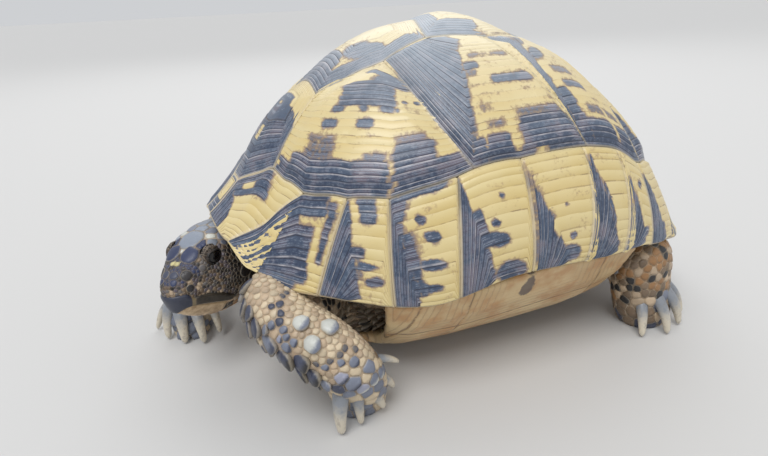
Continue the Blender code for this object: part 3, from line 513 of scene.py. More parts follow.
def darkness(marks, corners, sides, rings, edges, points, chance):
    # how dark each vertex is marked, from the table of its scute
    index = np.clip(np.searchsorted(edges, rings, "right"), 0, len(edges) - 1)
    sides = sides + (chance.standard_t(3, len(edges)) * 0.022)[index]
    strength = np.zeros_like(sides)
    for first, last, inner, outer, value in marks["bands"]:
        inner, outer = snapped(inner, edges), snapped(outer, edges)
        along = smooth(inner - 0.034, inner + 0.022, rings)
        if outer < 1:
            along = along * (1 - smooth(outer - 0.022, outer + 0.034, rings))
        across = np.zeros_like(sides)
        for turn in (-corners, 0, corners):
            spot = sides + turn
            within = smooth(first - 0.15, first + 0.12, spot) * (1 - smooth(last - 0.12, last + 0.15, spot))
            across = np.maximum(across, within)
        if last - first >= corners:
            across[:] = 1
        strength = np.maximum(strength, across * along * value)
    for first, last, inner, outer in marks["gaps"]:
        inner, outer = snapped(inner, edges), snapped(outer, edges)
        within = smooth(first - 0.08, first + 0.08, sides) * (1 - smooth(last - 0.08, last + 0.08, sides))
        within = within * smooth(inner - 0.015, inner + 0.015, rings)
        strength = strength * (1 - within * (1 - smooth(outer - 0.015, outer + 0.015, rings)))
    for angle, height, halfWidth, halfHeight, value in marks["spots"]:
        spot = domePoint(np.array(angle), np.array(height))
        alongRim = domePoint(np.array(angle + 0.01), np.array(height)) - spot
        upShell = domePoint(np.array(angle), np.array(height + 0.01)) - spot
        across = (points - spot) @ (alongRim / np.linalg.norm(alongRim)) / halfWidth
        up = (points - spot) @ (upShell / np.linalg.norm(upShell)) / halfHeight
        strength = np.maximum(strength, value * (1 - smooth(0.5, 1.35, np.hypot(across, up))))
    return strength


def buildScute(name, corners, flip):
    # corners are the left side's or the middle's; flip mirrors the scute to the right side
    chance = np.random.default_rng(carapace["seed"]
                                   + sum(ord(letter) * (k + 3) for k, letter in enumerate(name)))
    kind, median = kindOf(name), not ("left" in name or "right" in name)
    grown = growth[kind]
    marks = markings["marginal_" + name.split("_")[-1]] if kind == "marginal" else markings[kind]
    columns = carapace["marginalColumns"] if kind in ("marginal", "nuchal") else carapace["columns"]
    edges = ringEdges(grown["rings"], chance)
    rows = list(np.linspace(-1, 0, carapace["areolaRows"], endpoint=False)) + [0.0]
    for low, high in zip(edges, edges[1:]):
        rows += [low + (high - low) * share for share in (0.12, 0.5, 0.88, 1.0)]
    rows[-2:] = [rows[-2], rows[-2] + (1 - rows[-2]) * 0.5, 1 - (1 - rows[-2]) * 0.15, 1.0]
    below = ((1.0, 0.35), (1.0, 0.7), (1.0, 1.0), (0.7, 1.0), (0.0, 1.0))
    rings = np.array(rows + [ring for ring, _ in below] + [-1.0])
    sunk = np.array([0.0] * len(rows) + [depth for _, depth in below] + [1.0])
    piece, row, column = sphereGrid(name + "_horn", columns, len(rings) - 1)

    sides = evenSides(corners, columns)
    turns = np.linspace(0, 2 * math.pi, columns, endpoint=False)
    wave = sum(np.sin(k * turns + chance.uniform(0, 6)) * chance.uniform(0.3, 1) / k for k in (3, 5, 9, 14))
    clipped = np.clip(rings, 0, 1)
    swing = (clipped * (1 - clipped) * 4)[:, None]
    inner = rings[:, None] + carapace["waviness"] / grown["rings"] * wave * swing
    spots = np.stack([scuteSpots(corners, grown["margins"], median, sides, inner[:, k])[:, k]
                      for k in range(columns)], axis=1)
    points, normals = surface(spots)
    outline = domePoint(*fromDisc(outlineOf(corners, np.linspace(0, len(corners), 400, endpoint=False))))
    seam = np.min(np.linalg.norm(points[:, :, None] - outline, axis=-1), axis=-1)

    freeSide = {"nuchal": 3, "supracaudal": 2}.get(kind, len(corners) - 1)
    onBridge = name.split("_")[-1] in ("4", "5", "6", "7")
    free = kind in ("nuchal", "supracaudal") or (kind == "marginal" and not onBridge)
    onRim = np.zeros(columns)
    if free:
        away = np.abs(sides - freeSide - 0.5)
        onRim = 1 - smooth(0.42, 0.5, np.minimum(away, len(corners) - away))
    span = np.linalg.norm(points[len(rows) - 1] - points[carapace["areolaRows"]], axis=-1)
    ringWidth = span[None] / grown["rings"]
    order = np.searchsorted(edges, np.clip(rings, 0, 0.99999), "right") - 1
    share = (np.clip(rings, 0, 0.99999) - edges[order]) / (edges[order + 1] - edges[order])
    ring = np.where(rings < 0, rings * 0.4, order + share)
    depth = carapace["groove"] * chance.uniform(0.55, 1.25, grown["rings"] + 1)
    ridge = np.where(rings < 0, 0.0, 1 - np.abs(2 * share - 1) ** 3)
    relief = depth[order][:, None] * ridge[:, None] * smooth(0.15, 1.0, ringWidth)
    proud = grown["proud"] * smooth(0, max(seam[0].max(), 1) * 1.0, seam)
    rounding = carapace["seamRound"] + (carapace["rimRound"] - carapace["seamRound"]) * onRim[None]
    near = np.clip(rounding - seam, 0, None)
    drop = rounding - np.sqrt(np.maximum(rounding ** 2 - near ** 2, 0))
    thick = carapace["thickness"] + carapace["rimThickness"] * np.maximum(1 - fromDisc(spots)[1] / 0.3, 0)
    lift = proud + relief - drop - sunk[:, None] * (thick - rounding)
    points = points + normals * lift[..., None]
    dark = darkness(marks, len(corners), np.broadcast_to(sides, seam.shape),
                    np.broadcast_to(rings[:, None], seam.shape), edges, points, chance)
    height = fromDisc(spots)[1]
    points = points[row, column]
    if flip:
        points[:, 1] *= -1
    place(piece, toWorld(points))
    putAttribute(piece, "mark", dark[row, column])
    putAttribute(piece, "ring", np.broadcast_to(ring[:, None], seam.shape)[row, column])
    putAttribute(piece, "seam", seam[row, column])
    putAttribute(piece, "height", height[row, column])
    putAttribute(piece, "own", np.full(len(row), chance.uniform(0, 10)))
    return piece


def buildCarapace():
    corners = scuteCorners()
    made = []
    for name in sorted(corners):
        made.append((name, buildScute(name, corners[name.replace("right", "left")], "right" in name)))
    return made


# skin: lofts and the trunk made one, smoothed and wrinkled; mm in the shell's frame
# stations: x, y, z, half width, half depth
tubes = {
    "left_foreleg": {"wide": (1, 0, -0.3), "upper": (
        (-58, -24, 34, 9, 9), (-66, -31.5, 33.2, 9.5, 9.5), (-71.5, -37.5, 32.4, 9.3, 9),
        (-75, -42, 32.7, 9, 8.7)), "lower": (
        (-81.8, -32.6, 45, 2.8, 2.6), (-82.6, -34.4, 43.6, 5.6, 5), (-83.4, -37.4, 40.8, 8, 7.4),
        (-82.8, -41.8, 37.2, 9.4, 8.8), (-79.8, -47.5, 33.9, 9.7, 9), (-73, -54, 29.2, 9.6, 9),
        (-66.4, -57, 22.2, 9.2, 8.4), (-62.6, -55.5, 14.2, 9.2, 7.5), (-61, -52.5, 6.5, 8.6, 6.5),
        (-60.6, -51.5, 0, 7.8, 5.6))},
    "right_foreleg": {"wide": (1, 1, -0.3), "upper": (
        (-58, 24, 33, 9, 9), (-67, 34, 32, 9.5, 9.5), (-74, 42, 31, 9.5, 9.5), (-82, 45, 30, 9.5, 9)),
        "lower": (
        (-79, 52, 39, 4, 3.5), (-80.5, 51, 37, 8, 7), (-83.5, 48, 33.5, 10.5, 8.6), (-88, 44, 29, 11.2, 9),
        (-94, 38.5, 24, 11, 9), (-99.5, 33, 18.5, 10.4, 8.6), (-104, 28, 12, 10, 8.4),
        (-106.5, 25, 5.5, 9.4, 8), (-107, 24, 0, 8, 7))},
    "left_hindleg": {"wide": (1, 0.2, 0), "upper": (
        (36, -24, 34, 10, 10), (45, -33, 32, 12, 11.5), (51, -41, 29, 12.5, 11), (55, -47, 25, 12, 10.5)),
        "lower": (
        (54, -50, 36, 5, 5), (54.5, -49.6, 33, 9.5, 8.5), (55.2, -49, 27, 12.2, 10.4),
        (56.2, -49, 19, 12, 10.2),
        (57.5, -49.3, 11, 11.5, 10), (59, -49.5, 4.5, 11, 9.8), (59.3, -49.5, 0, 9.6, 8.6))},
    "right_hindleg": {"wide": (1, -0.2, 0), "upper": (
        (34, 24, 34, 10, 10), (40, 33, 32, 12, 11.5), (44, 41, 29, 12.5, 11), (45, 47, 25, 12, 10.5)),
        "lower": (
        (45.5, 50, 36, 5, 5), (45.3, 49.6, 33, 9.5, 8.5), (45, 49, 27, 12.2, 10.4),
        (44.4, 49, 19, 12, 10.2),
        (43.6, 49.3, 11, 11.5, 10), (42.8, 49.5, 4.5, 11, 9.8), (42.6, 49.5, 0, 9.6, 8.6))},
    "tail": {"wide": (0, 1, 0), "lower": (
        (60, 0, 30, 8, 8), (72, 1, 27, 7, 6.5), (79, 2, 22, 5, 5), (83, 4, 15, 3.4, 3.4),
        (84.5, 6, 9, 1.4, 1.4))},
}
# the head in its own frame, mm: back from the snout, half width, top, bottom
headShape = {
    "snout": (-112.8, -17.0, 39.3), "yaw": 44, "pitch": -1.5, "roll": -3, "scale": 1.06,
    "stations": ((-0.6, 0, -0.6, -2.5), (0.0, 2.6, 0.9, -5.0), (1.6, 4.4, 2.6, -8.8),
                 (4.5, 6.3, 4.8, -11.8),
                 (8.5, 8.4, 7.6, -14.4), (13.0, 10.7, 10.1, -16.3), (18.0, 12.4, 11.7, -17.6),
                 (24.0, 13.4, 12.3, -18.2), (30.0, 13.4, 11.7, -18.0), (36.0, 12.0, 9.4, -16.0)),
    "eye": (14.5, 6.4, 5.2), "eyeRadius": 3.5, "nostril": (0.5, 2.3, 0.3),
}
skinShape = {"voxel": 0.8, "triangles": 190000, "smoothing": 5, "coatDepth": 0.5}


def headMatrix():
    turn = Matrix.Rotation(math.radians(headShape["yaw"]), 4, "Z")
    turn = turn @ Matrix.Rotation(math.radians(headShape["pitch"]), 4, "Y")
    turn = turn @ Matrix.Rotation(math.radians(headShape["roll"]), 4, "X")
    return np.array(Matrix.Translation(headShape["snout"]) @ turn @ Matrix.Scale(headShape["scale"], 4))


def fromHead(points):
    # head frame to shell frame, mm
    return np.asarray(points) @ headMatrix()[:3, :3].T + headMatrix()[:3, 3]


def toHead(points):
    return (np.asarray(points) - headMatrix()[:3, 3]) @ np.linalg.inv(headMatrix()[:3, :3]).T


def resampled(stations, count):
    # smooth curve through rows of numbers, even in the distance between their first three
    table = np.array(stations, float)
    run = np.concatenate([[0], np.cumsum(np.linalg.norm(np.diff(table[:, :3], axis=0), axis=1))])
    at = np.linspace(0, run[-1], count)
    slopes = np.gradient(table, run, axis=0)
    k = np.clip(np.searchsorted(run, at, "right") - 1, 0, len(run) - 2)
    step = (run[k + 1] - run[k])[:, None]
    t = (at[:, None] - run[k][:, None]) / step
    return (table[k] * (1 + 2 * t) * (1 - t) ** 2 + slopes[k] * step * t * (1 - t) ** 2
            + table[k + 1] * t * t * (3 - 2 * t) + slopes[k + 1] * step * t * t * (t - 1))


def tubeFrames(stations, wideToward, count):
    # centres, ways wide and deep, half sizes along a tube
    table = resampled(stations, count)
    along = np.gradient(table[:, :3], axis=0)
    along /= np.linalg.norm(along, axis=1, keepdims=True)
    level = (1 - smooth(0, 9, table[:, 2]))[:, None]
    along = along * (1 - level) + np.array([0, 0, -1.0]) * level
    along /= np.linalg.norm(along, axis=1, keepdims=True)
    wide = np.array(wideToward, float) - along * (along @ np.array(wideToward, float))[:, None]
    wide /= np.linalg.norm(wide, axis=1, keepdims=True)
    return table[:, :3], along, wide, np.cross(along, wide), table[:, 3], table[:, 4]


def addTube(name, stations, wideToward, count=26, columns=32, squareness=2.2):
    centres, _, wide, deep, halfWide, halfDeep = tubeFrames(stations, wideToward, count)
    piece, row, column = sphereGrid(name, columns, count + 1)
    turn = 2 * math.pi * np.arange(columns) / columns
    inset = skinShape["coatDepth"]
    across = signedPower(np.cos(turn), 2 / squareness)[None] * np.maximum(halfWide - inset, 0.6)[:, None]
    down = signedPower(np.sin(turn), 2 / squareness)[None] * np.maximum(halfDeep - inset, 0.6)[:, None]
    rings = centres[:, None] + wide[:, None] * across[..., None] + deep[:, None] * down[..., None]
    points = np.where((row == 0)[:, None], centres[0], centres[-1])
    middle = (row > 0) & (row <= count)
    points[middle] = rings[row[middle] - 1, column[middle]]
    place(piece, toWorld(points))
    return piece


def headHalf(x):
    table = np.array(headShape["stations"])
    return np.sqrt(np.interp(x, table[:, 0], table[:, 1] ** 2))


def headLevels(x):
    table = np.array(headShape["stations"])
    rise = np.sign(table[:, 2]) * table[:, 2] ** 2
    top = np.sqrt(np.maximum(np.interp(x, table[:, 0], rise), 0))
    bottom = -np.sqrt(np.interp(x, table[:, 0], table[:, 3] ** 2))
    return top, bottom


def headPoint(x, turn, inset=0.0):
    # on the head's skin: distance back from the snout, angle round from the left side over the crown
    half, (top, bottom) = headHalf(x), headLevels(x)
    middle = (top * 0.4 + bottom * 0.6) * 0.5 + 1.2 * smooth(0, 6, x)
    across = signedPower(np.cos(turn), 0.85) * (half - inset)
    up = signedPower(np.sin(turn), 0.8)
    reach = np.where(up > 0, top - middle, middle - bottom) - inset
    across = across * (1 - 0.16 * np.maximum(-up, 0))
    sideways = (np.abs(across) - half * 0.72) / 2.6
    brow = np.exp(-((x - 13.5) / 5.0) ** 2) * np.exp(-sideways ** 2) * np.maximum(up, 0)
    hollow = np.exp(-((x - 6.5) / 3.4) ** 2) * np.exp(-((up - 0.15) / 0.4) ** 2)
    across = across * (1 - 0.10 * hollow + 0.05 * brow)
    return np.stack([x + np.zeros_like(across), -across, middle + up * reach + brow * 0.9], axis=-1)


def addHeadCore(count=40, columns=48):
    piece, row, column = sphereGrid("head_core", columns, count + 1)
    x = -0.6 + 34.6 * np.linspace(0.01, 1, count) ** 1.6
    turn = 2 * math.pi * (np.arange(columns) + 0.5) / columns
    rings = headPoint(x[:, None], turn[None], skinShape["coatDepth"] * 0.8)
    points = np.where((row == 0)[:, None], np.array([-0.2, 0, -2.5]), np.array([35.0, 0, -0.7]))
    middle = (row > 0) & (row <= count)
    points[middle] = rings[row[middle] - 1, column[middle]]
    place(piece, toWorld(fromHead(points)))
    return piece


def neckStations():
    start, back = fromHead(np.array([[22.0, 0, -0.9], [36.3, 0, -0.7]]))
    path = [start, back, back + [4.2, 3.2, -0.4], (-74, 14.5, 36.5), (-66, 14, 34.5), (-55, 9, 32)]
    halves = ((9.0, 10.4), (10.0, 11.0), (10.5, 11.2), (11.2, 11.8), (12.0, 12.6), (12.5, 13.5))
    return [(*spot, tall, wide) for spot, (tall, wide) in zip(path, halves)]


def copyOf(node):
    # a merged copy of a solid's mesh, to build on
    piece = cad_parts[node].copy()
    piece.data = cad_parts[node].data.copy()
    for key in list(piece.keys()):
        if key.startswith("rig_"):
            del piece[key]
    piece.parent = None
    bpy.context.scene.collection.objects.link(piece)
    alone(piece)
    bpy.ops.object.mode_set(mode="EDIT")
    bpy.ops.mesh.select_all(action="SELECT")
    bpy.ops.mesh.remove_doubles(threshold=1e-5)
    bpy.ops.object.mode_set(mode="OBJECT")
    return piece


def alone(piece, *others):
    bpy.ops.object.select_all(action="DESELECT")
    for one in (piece, *others):
        one.select_set(True)
    bpy.context.view_layer.objects.active = piece


def modify(piece, kind, **settings):
    alone(piece)
    made = piece.modifiers.new("step", kind)
    for key, value in settings.items():
        setattr(made, key, value)
    bpy.ops.object.modifier_apply(modifier=made.name)


def spotsOf(piece):
    spots = np.empty(len(piece.data.vertices) * 3, np.float32)
    piece.data.vertices.foreach_get("co", spots)
    return spots.reshape(-1, 3).astype(float)


def normalsOf(piece):
    found = np.empty(len(piece.data.vertices) * 3, np.float32)
    piece.data.vertices.foreach_get("normal", found)
    return found.reshape(-1, 3).astype(float)


def fromWorld(points):
    return (np.asarray(points) - np.array([shiftX, shiftY, 0.0])) / mm


def buildSkin():
    parts = [addHeadCore(), addTube("neck_core", neckStations(), (0, 0, 1), 20, 32, 2.0)]
    for name, tube in tubes.items():
        parts.append(addTube(name + "_core", tube["lower"], tube["wide"],
                             squareness=2.0 if name == "tail" else 2.2))
        if "upper" in tube:
            parts.append(addTube(name + "_upper_core", tube["upper"], (0, 0, 1)))
    parts.append(copyOf("trunk"))
    for side in (-1, 1):  # eye sockets
        socket, _, _ = sphereGrid("socket", 32, 20)
        x, y, z = headShape["eye"]
        place(socket, toWorld(fromHead(spotsOf(socket) * (headShape["eyeRadius"] + 0.15)
                                       + [x, y * side, z])))
        modify(parts[0], "BOOLEAN", operation="DIFFERENCE", object=socket, solver="EXACT")
        bpy.data.objects.remove(socket)
    alone(parts[0], *parts[1:])
    bpy.ops.object.join()
    skin = bpy.context.object
    skin.name = skin.data.name = "skin"
    modify(skin, "REMESH", mode="VOXEL", voxel_size=skinShape["voxel"] * mm)
    modify(skin, "SMOOTH", factor=0.5, iterations=skinShape["smoothing"])
    # most of the trunk is out of sight under the shell, so its faces are the ones thinned
    x, y, z = fromWorld(spotsOf(skin)).T
    covered = ((x > -78) & (z > 48)) | ((np.abs(x) < 55) & (np.abs(y) < 32))
    hidden = skin.vertex_groups.new(name="hidden")
    hidden.add(np.flatnonzero(covered).tolist(), 1, "REPLACE")
    share = skinShape["triangles"] / (2 * len(skin.data.polygons))
    modify(skin, "DECIMATE", ratio=share, vertex_group=hidden.name)
    skin.vertex_groups.clear()
    spots = spotsOf(skin)
    spots[:, 2] = np.maximum(spots[:, 2], 0)
    place(skin, spots)
    return skin


def carapaceLook():
    look = Look("shellHorn")
    mark, ring, seam = look.attribute("mark"), look.attribute("ring"), look.attribute("seam")
    height, own = look.attribute("height"), look.attribute("own")
    fine, grain, broad = look.noise(900, 4), look.noise(2600, 2), look.noise(60, 2)
    patch = look.noise(160, 3)
    ringTone = look.node("ShaderNodeTexWhiteNoise", {"noise_dimensions": "1D"},
                         {"W": ring.floor() + own * 31.7})
    ringFade = look.node("ShaderNodeTexWhiteNoise", {"noise_dimensions": "1D"},
                         {"W": ring.floor() + own * 11.3 + 50})
    frac = ring - ring.floor()
    ragged = (fine - 0.5) * 0.6 + (patch - 0.5) * 0.7
    dark = (mark + ragged).step(0.32, 0.68)
    brown = (mark + ragged * 1.3).step(0.10, 0.46)
    groove = (1 - frac.step(0.03, 0.12)) + frac.step(0.95, 0.99)
    pale = frac.step(0.08, 0.14) * (1 - frac.step(0.2, 0.36))
    second = ring * 3 - (ring * 3).floor()
    hair = (1 - second.step(0.04, 0.2)) * patch.step(0.4, 0.6)
    third = ring * 5 + (fine - 0.5) * 0.8
    thread = (1 - (third - third.floor()).step(0.12, 0.4)) * (fine * 0.5 + patch * 0.5).step(0.44, 0.56)
    # painted sky reflection: the shell is painted paler towards the crown, where the sky reflects
    top = height.step(0.32, 0.88)
    along = look.noise(210, 3).step(0.42, 0.6)

    cream = look.mix(frac, (0.60, 0.46, 0.185), (0.70, 0.585, 0.30))
    cream = look.mix(ringTone * 0.3, cream, (0.66, 0.47, 0.17))
    cream = look.mix(broad.step(0.35, 0.7) * 0.35, cream, (0.74, 0.63, 0.36))
    # painted sky reflection and highlight on the cream near the crown
    cream = look.mix(top * 0.7, cream, (0.90, 0.82, 0.62))
    cream = look.mix(groove * ringFade.step(0.25, 0.9) * along * 0.75, cream, (0.17, 0.085, 0.05))
    cream = look.mix((patch * fine).step(0.3, 0.42) * 0.35, cream, (0.50, 0.34, 0.15))
    slate = look.mix(ringTone * 0.55 + (fine - 0.5) * 0.7, (0.024, 0.038, 0.080), (0.11, 0.155, 0.225))
    slate = look.mix(patch.step(0.45, 0.68) * (0.25 + 0.6 * ringFade), slate, (0.15, 0.105, 0.13))
    slate = look.mix(thread * 0.6, slate, (0.30, 0.35, 0.43))
    # painted sky reflection on the slate near the crown
    slate = look.mix(top * (0.5 + 0.5 * patch), slate, (0.50, 0.55, 0.60))
    slate = look.mix(hair * 0.7, slate, (0.34, 0.38, 0.45))
    slate = look.mix(groove * 0.85, slate, (0.014, 0.016, 0.034))
    slate = look.mix(pale * ringFade.step(0.2, 0.8) * (0.35 + 0.5 * along), slate, (0.47, 0.45, 0.47))
    brownish = look.mix(fine, (0.17, 0.095, 0.085), (0.33, 0.22, 0.16))
    colour = look.mix(brown * 0.8, cream, brownish)
    colour = look.mix(dark, colour, slate)
    low = 1 - height.step(0.2, 0.3)
    colour = look.mix((1 - seam.step(0.25, 0.85)) * (0.35 + 0.5 * low), colour, (0.68, 0.58, 0.40))
    rough = 0.33 + (grain - 0.5) * 0.2 + groove * 0.12
    normal = look.bump(grain * 0.3 + fine * 0.45 + hair * -0.25 + groove * -0.6, 0.00012, 0.55)
    return look.finish(colour, rough, normal, Specular_IOR_Level=0.5, Coat_Weight=0.12, Coat_Roughness=0.22)


# plastron: the solid's own shape rounded, with the seams and growth lines of the species
plate = {
    "voxel": 0.9, "smoothing": 5, "midline": 0.9, "sideSeam": 24,
    # where the cross seams meet the midline and how far back they run at the sides, mm in the shell's frame
    "seams": ((-68, 16), (-47, -6), (-33, 4), (30, -4), (57, 9)),
    # dark patches: place along and away from the midline, half length and half width
    "patches": ((-38, 22, 15, 14), (10, 26, 24, 12), (44, 18, 13, 12), (-60, 12, 8, 9), (66, 9, 7, 8),
                (-6, 62, 4, 3)),
}


def buildPlastron():
    piece = copyOf("plastron")
    piece.name = piece.data.name = "plastron_horn"
    modify(piece, "REMESH", mode="VOXEL", voxel_size=plate["voxel"] * mm)
    modify(piece, "SMOOTH", factor=0.5, iterations=plate["smoothing"])
    bpy.ops.object.shade_smooth()
    x, y, z = fromWorld(spotsOf(piece)).T
    away = np.abs(y - plate["midline"] * np.sin(x / 11))
    for meet, slant in plate["seams"]:
        bend = meet + slant * (np.abs(y) / 45) ** 1.5 + 0.6 * np.sin(y / 5)
        away = np.minimum(away, np.abs(x - bend))
    side = np.abs(z - plate["sideSeam"] - 1.5 * np.sin(x / 17)) * 1.2
    away = np.minimum(away, np.where((np.abs(y) > 38) & (np.abs(x) < 50), side, 99))
    putAttribute(piece, "seam", away)
    patches = np.zeros_like(x)
    edge = 0.22 * np.sin(x / 3.1) * np.sin(y / 2.7 + 1) + 0.15 * np.sin(x / 1.3 + y / 1.9)
    for spotX, spotY, wide, tall in plate["patches"]:
        near = np.hypot((x - spotX) / wide, (np.abs(y) - spotY) / tall)
        patches = np.maximum(patches, 1 - smooth(0.2, 1.15, near + edge))
    putAttribute(piece, "mark", patches)
    return piece


def plastronLook():
    look = Look("plastronHorn")
    seam, mark = look.attribute("seam"), look.attribute("mark")
    fine, patch, broad = look.noise(700, 4), look.noise(140, 3), look.noise(45, 2)
    lines = (seam * 0.45 + (patch - 0.5) * 0.9).toWhole()
    fade = 1 - seam.step(5, 16)
    colour = look.mix(broad.step(0.3, 0.7), (0.50, 0.33, 0.16), (0.64, 0.49, 0.27))
    colour = look.mix(patch.step(0.42, 0.66) * 0.7, colour, (0.46, 0.23, 0.09))
    colour = look.mix((1 - lines.step(0.03, 0.16)) * fade * 0.5, colour, (0.36, 0.23, 0.12))
    colour = look.mix((mark + (fine - 0.5) * 0.7 + (patch - 0.5) * 0.9).step(0.45, 0.75) * 0.85, colour,
                      (0.075, 0.06, 0.06))
    colour = look.mix((1 - seam.step(0.15, 0.5)) * 0.8, colour, (0.20, 0.12, 0.06))
    height = seam.step(0.0, 0.9) * 2.0 + lines.step(0.0, 0.2) * fade * 0.5 + fine * 0.3
    return look.finish(colour, 0.45 + (fine - 0.5) * 0.2, look.bump(height, 0.0003, 0.6), Coat_Weight=0.08)


# scales: cells between scattered roots, each a domed plate that follows the skin under it
coat = {
    "directions": 12, "shieldDirections": 30, "gap": 0.13, "candidates": 60000, "relaxing": 5, "seed": 7,
    "reach": 1.75, "patch": 0.003,
}


def allTubes():
    # every limb as one set of frames: centres, along, wide, deep, half sizes
    found = {}
    for name, tube in tubes.items():
        found[name] = tubeFrames(tube["lower"], tube["wide"], 60)
        if "upper" in tube:
            found[name + "_upper"] = tubeFrames(tube["upper"], (0, 0, 1), 40)
    found["neck"] = tubeFrames(neckStations(), (0, 0, 1), 50)
    x = np.linspace(0, 34, 50)
    top, bottom = headLevels(x)
    middle = fromHead(np.stack([x, np.zeros(50), (top + bottom) / 2], axis=1))
    turn = headMatrix()[:3, :3] / headShape["scale"]
    ways = [np.tile(turn[:, k], (50, 1)) for k in (0, 1, 2)]
    found["head"] = (middle, ways[0], ways[1], ways[2], headHalf(x) * 1.06 + 0.1, (top - bottom) / 2 * 1.06)
    return found


class Body:
    # the skin as a surface to place scales on, in mm in the shell's frame
    def __init__(self, skin):
        self.points, self.normals = fromWorld(spotsOf(skin)), normalsOf(skin)
        mesh = skin.data
        mesh.calc_loop_triangles()
        faces = np.empty(len(mesh.loop_triangles) * 3, np.int32)
        mesh.loop_triangles.foreach_get("vertices", faces)
        self.faces = faces.reshape(-1, 3)
        self.tree = BVHTree.FromPolygons(self.points.tolist(), self.faces.tolist())
        self.tubes = allTubes()
        self.names = list(self.tubes)

    def nearest(self, points):
        # spots on the skin, with smooth normals
        hits = [self.tree.find_nearest(point) for point in points.tolist()]
        spots = np.array([hit[0][:] for hit in hits])
        corners = self.faces[[hit[2] for hit in hits]]
        gaps = np.linalg.norm(self.points[corners] - spots[:, None], axis=2) + 0.05
        normals = (self.normals[corners] / gaps[..., None]).sum(axis=1)
        return spots, normals / np.linalg.norm(normals, axis=1, keepdims=True)

    def limbs(self, points):
        # for each point the limb it is on, how far along (0 to 1), angle round it, distance over
        # its radius, lie
        best = np.full(len(points), 1e9)
        limb, along, turn = np.zeros(len(points), int), np.zeros(len(points)), np.zeros(len(points))
        lie = np.zeros((len(points), 3))
        for k, name in enumerate(self.names):
            centres, ahead, wide, deep, halfWide, halfDeep = self.tubes[name]
            away = points[:, None] - centres
            gap = np.linalg.norm(away, axis=2) / np.maximum((halfWide + halfDeep) / 2, 2.5)
            row = gap.argmin(axis=1)
            score = gap[np.arange(len(points)), row]
            closer = score < best
            offset = away[np.arange(len(points)), row]
            best = np.where(closer, score, best)
            limb = np.where(closer, k, limb)
            along = np.where(closer, row / (len(centres) - 1), along)
            angle = np.arctan2((offset * deep[row]).sum(1), (offset * wide[row]).sum(1))
            turn = np.where(closer, angle, turn)
            lie = np.where(closer[:, None], ahead[row], lie)
        return limb, along, turn, best, lie

    def spread(self, limb, along, turn):
        # an unwrap of the skin: one upright strip for each limb
        count = len(self.names)
        return np.stack([(limb + 0.04 + 0.92 * (turn / (2 * math.pi) + 0.5)) / count, 0.03 + 0.94 * along],
                        axis=-1)

    def spot(self, name, along, turn):
        # the point of the skin at a place along and round a limb
        centres, _, wide, deep, halfWide, halfDeep = self.tubes[name]
        k = int(round(along * (len(centres) - 1)))
        way = wide[k] * math.cos(turn) * halfWide[k] + deep[k] * math.sin(turn) * halfDeep[k]
        return centres[k] + way


def scatter(body, size, fixed, chance):
    # roots at least about size apart, after the fixed ones: points and sizes
    a, b, c = (body.points[body.faces[:, k]] for k in range(3))
    area = np.linalg.norm(np.cross(b - a, c - a), axis=1)
    middle = (a + b + c) / 3
    wanted = size(middle)
    area = np.where(wanted > 0, area / np.maximum(wanted, 0.5) ** 2, 0)
    picked = chance.choice(len(area), coat["candidates"], p=area / area.sum())
    u, v = chance.uniform(size=(2, coat["candidates"], 1))
    u, v = np.where(u + v > 1, 1 - u, u), np.where(u + v > 1, 1 - v, v)
    spots = a[picked] + (b[picked] - a[picked]) * u + (c[picked] - a[picked]) * v
    sizes = size(spots)
    cells, points, widths = {}, [], []
    cell = 4.5

    def add(spot, width):
        cells.setdefault(tuple((spot // cell).astype(int)), []).append(len(points))
        points.append(spot)
        widths.append(width)

    for spot, width in fixed:
        add(np.asarray(spot, float), width)
    around = [(i, j, k) for i in (-1, 0, 1) for j in (-1, 0, 1) for k in (-1, 0, 1)]
    for spot, width in zip(spots, sizes):
        if width <= 0:
            continue
        i, j, k = (spot // cell).astype(int)
        near = [n for x, y, z in around for n in cells.get((i + x, j + y, k + z), ())]
        if near:
            gaps = np.linalg.norm(np.array([points[n] for n in near]) - spot, axis=1)
            if (gaps < np.array([(widths[n] + width) * 0.41 for n in near])).any():
                continue
        add(spot, width)
    return np.array(points), np.array(widths)


def neighbours(points, among, count):
    # indexes of the nearest points, nearest first
    tree = KDTree(len(among))
    for k, point in enumerate(among.tolist()):
        tree.insert(point, k)
    tree.balance()
    return np.array([[other for _, other, _ in tree.find_n(point, count)] for point in points.tolist()])


def relax(body, points, widths, held):
    # evens out the gaps between roots; the first held ones stay
    for _ in range(coat["relaxing"]):
        near = neighbours(points, points, 9)[:, 1:]
        away = points[:, None] - points[near]
        gap = np.maximum(np.linalg.norm(away, axis=2), 1e-6)
        room = np.maximum((widths[:, None] + widths[near]) * 0.5 - gap, 0)
        push = (away / gap[..., None] * room[..., None] * 0.35).sum(axis=1)
        moved, _ = body.nearest(points[held:] + push[held:])
        points[held:] = moved
    return points


def cellRadii(points, widths, frames, chosen, directions):
    # how far each chosen scale reaches in each direction before it meets its neighbour's half
    near = neighbours(points[chosen], points, 28)[:, 1:]
    angles = 2 * math.pi * np.arange(directions) / directions
    away = points[near] - points[chosen][:, None]
    first, second = frames[chosen, 0], frames[chosen, 1]
    along, across = (away * first[:, None]).sum(axis=2), (away * second[:, None]).sum(axis=2)
    square = (away ** 2).sum(axis=2) + (widths[chosen][:, None] ** 2 - widths[near] ** 2) * 0.25
    toward = along[..., None] * np.cos(angles) + across[..., None] * np.sin(angles)
    limit = np.where(toward > 1e-6, square[..., None] / np.maximum(2 * toward, 1e-6), 1e9)
    radii = np.minimum(limit.min(axis=1), widths[chosen][:, None] * coat["reach"] / 2)
    rounder = (np.roll(radii, 1, axis=1) + np.roll(radii, -1, axis=1)) * 0.22 + radii * 0.56
    return np.maximum(np.minimum(radii, rounder) - coat["gap"], 0.12), angles


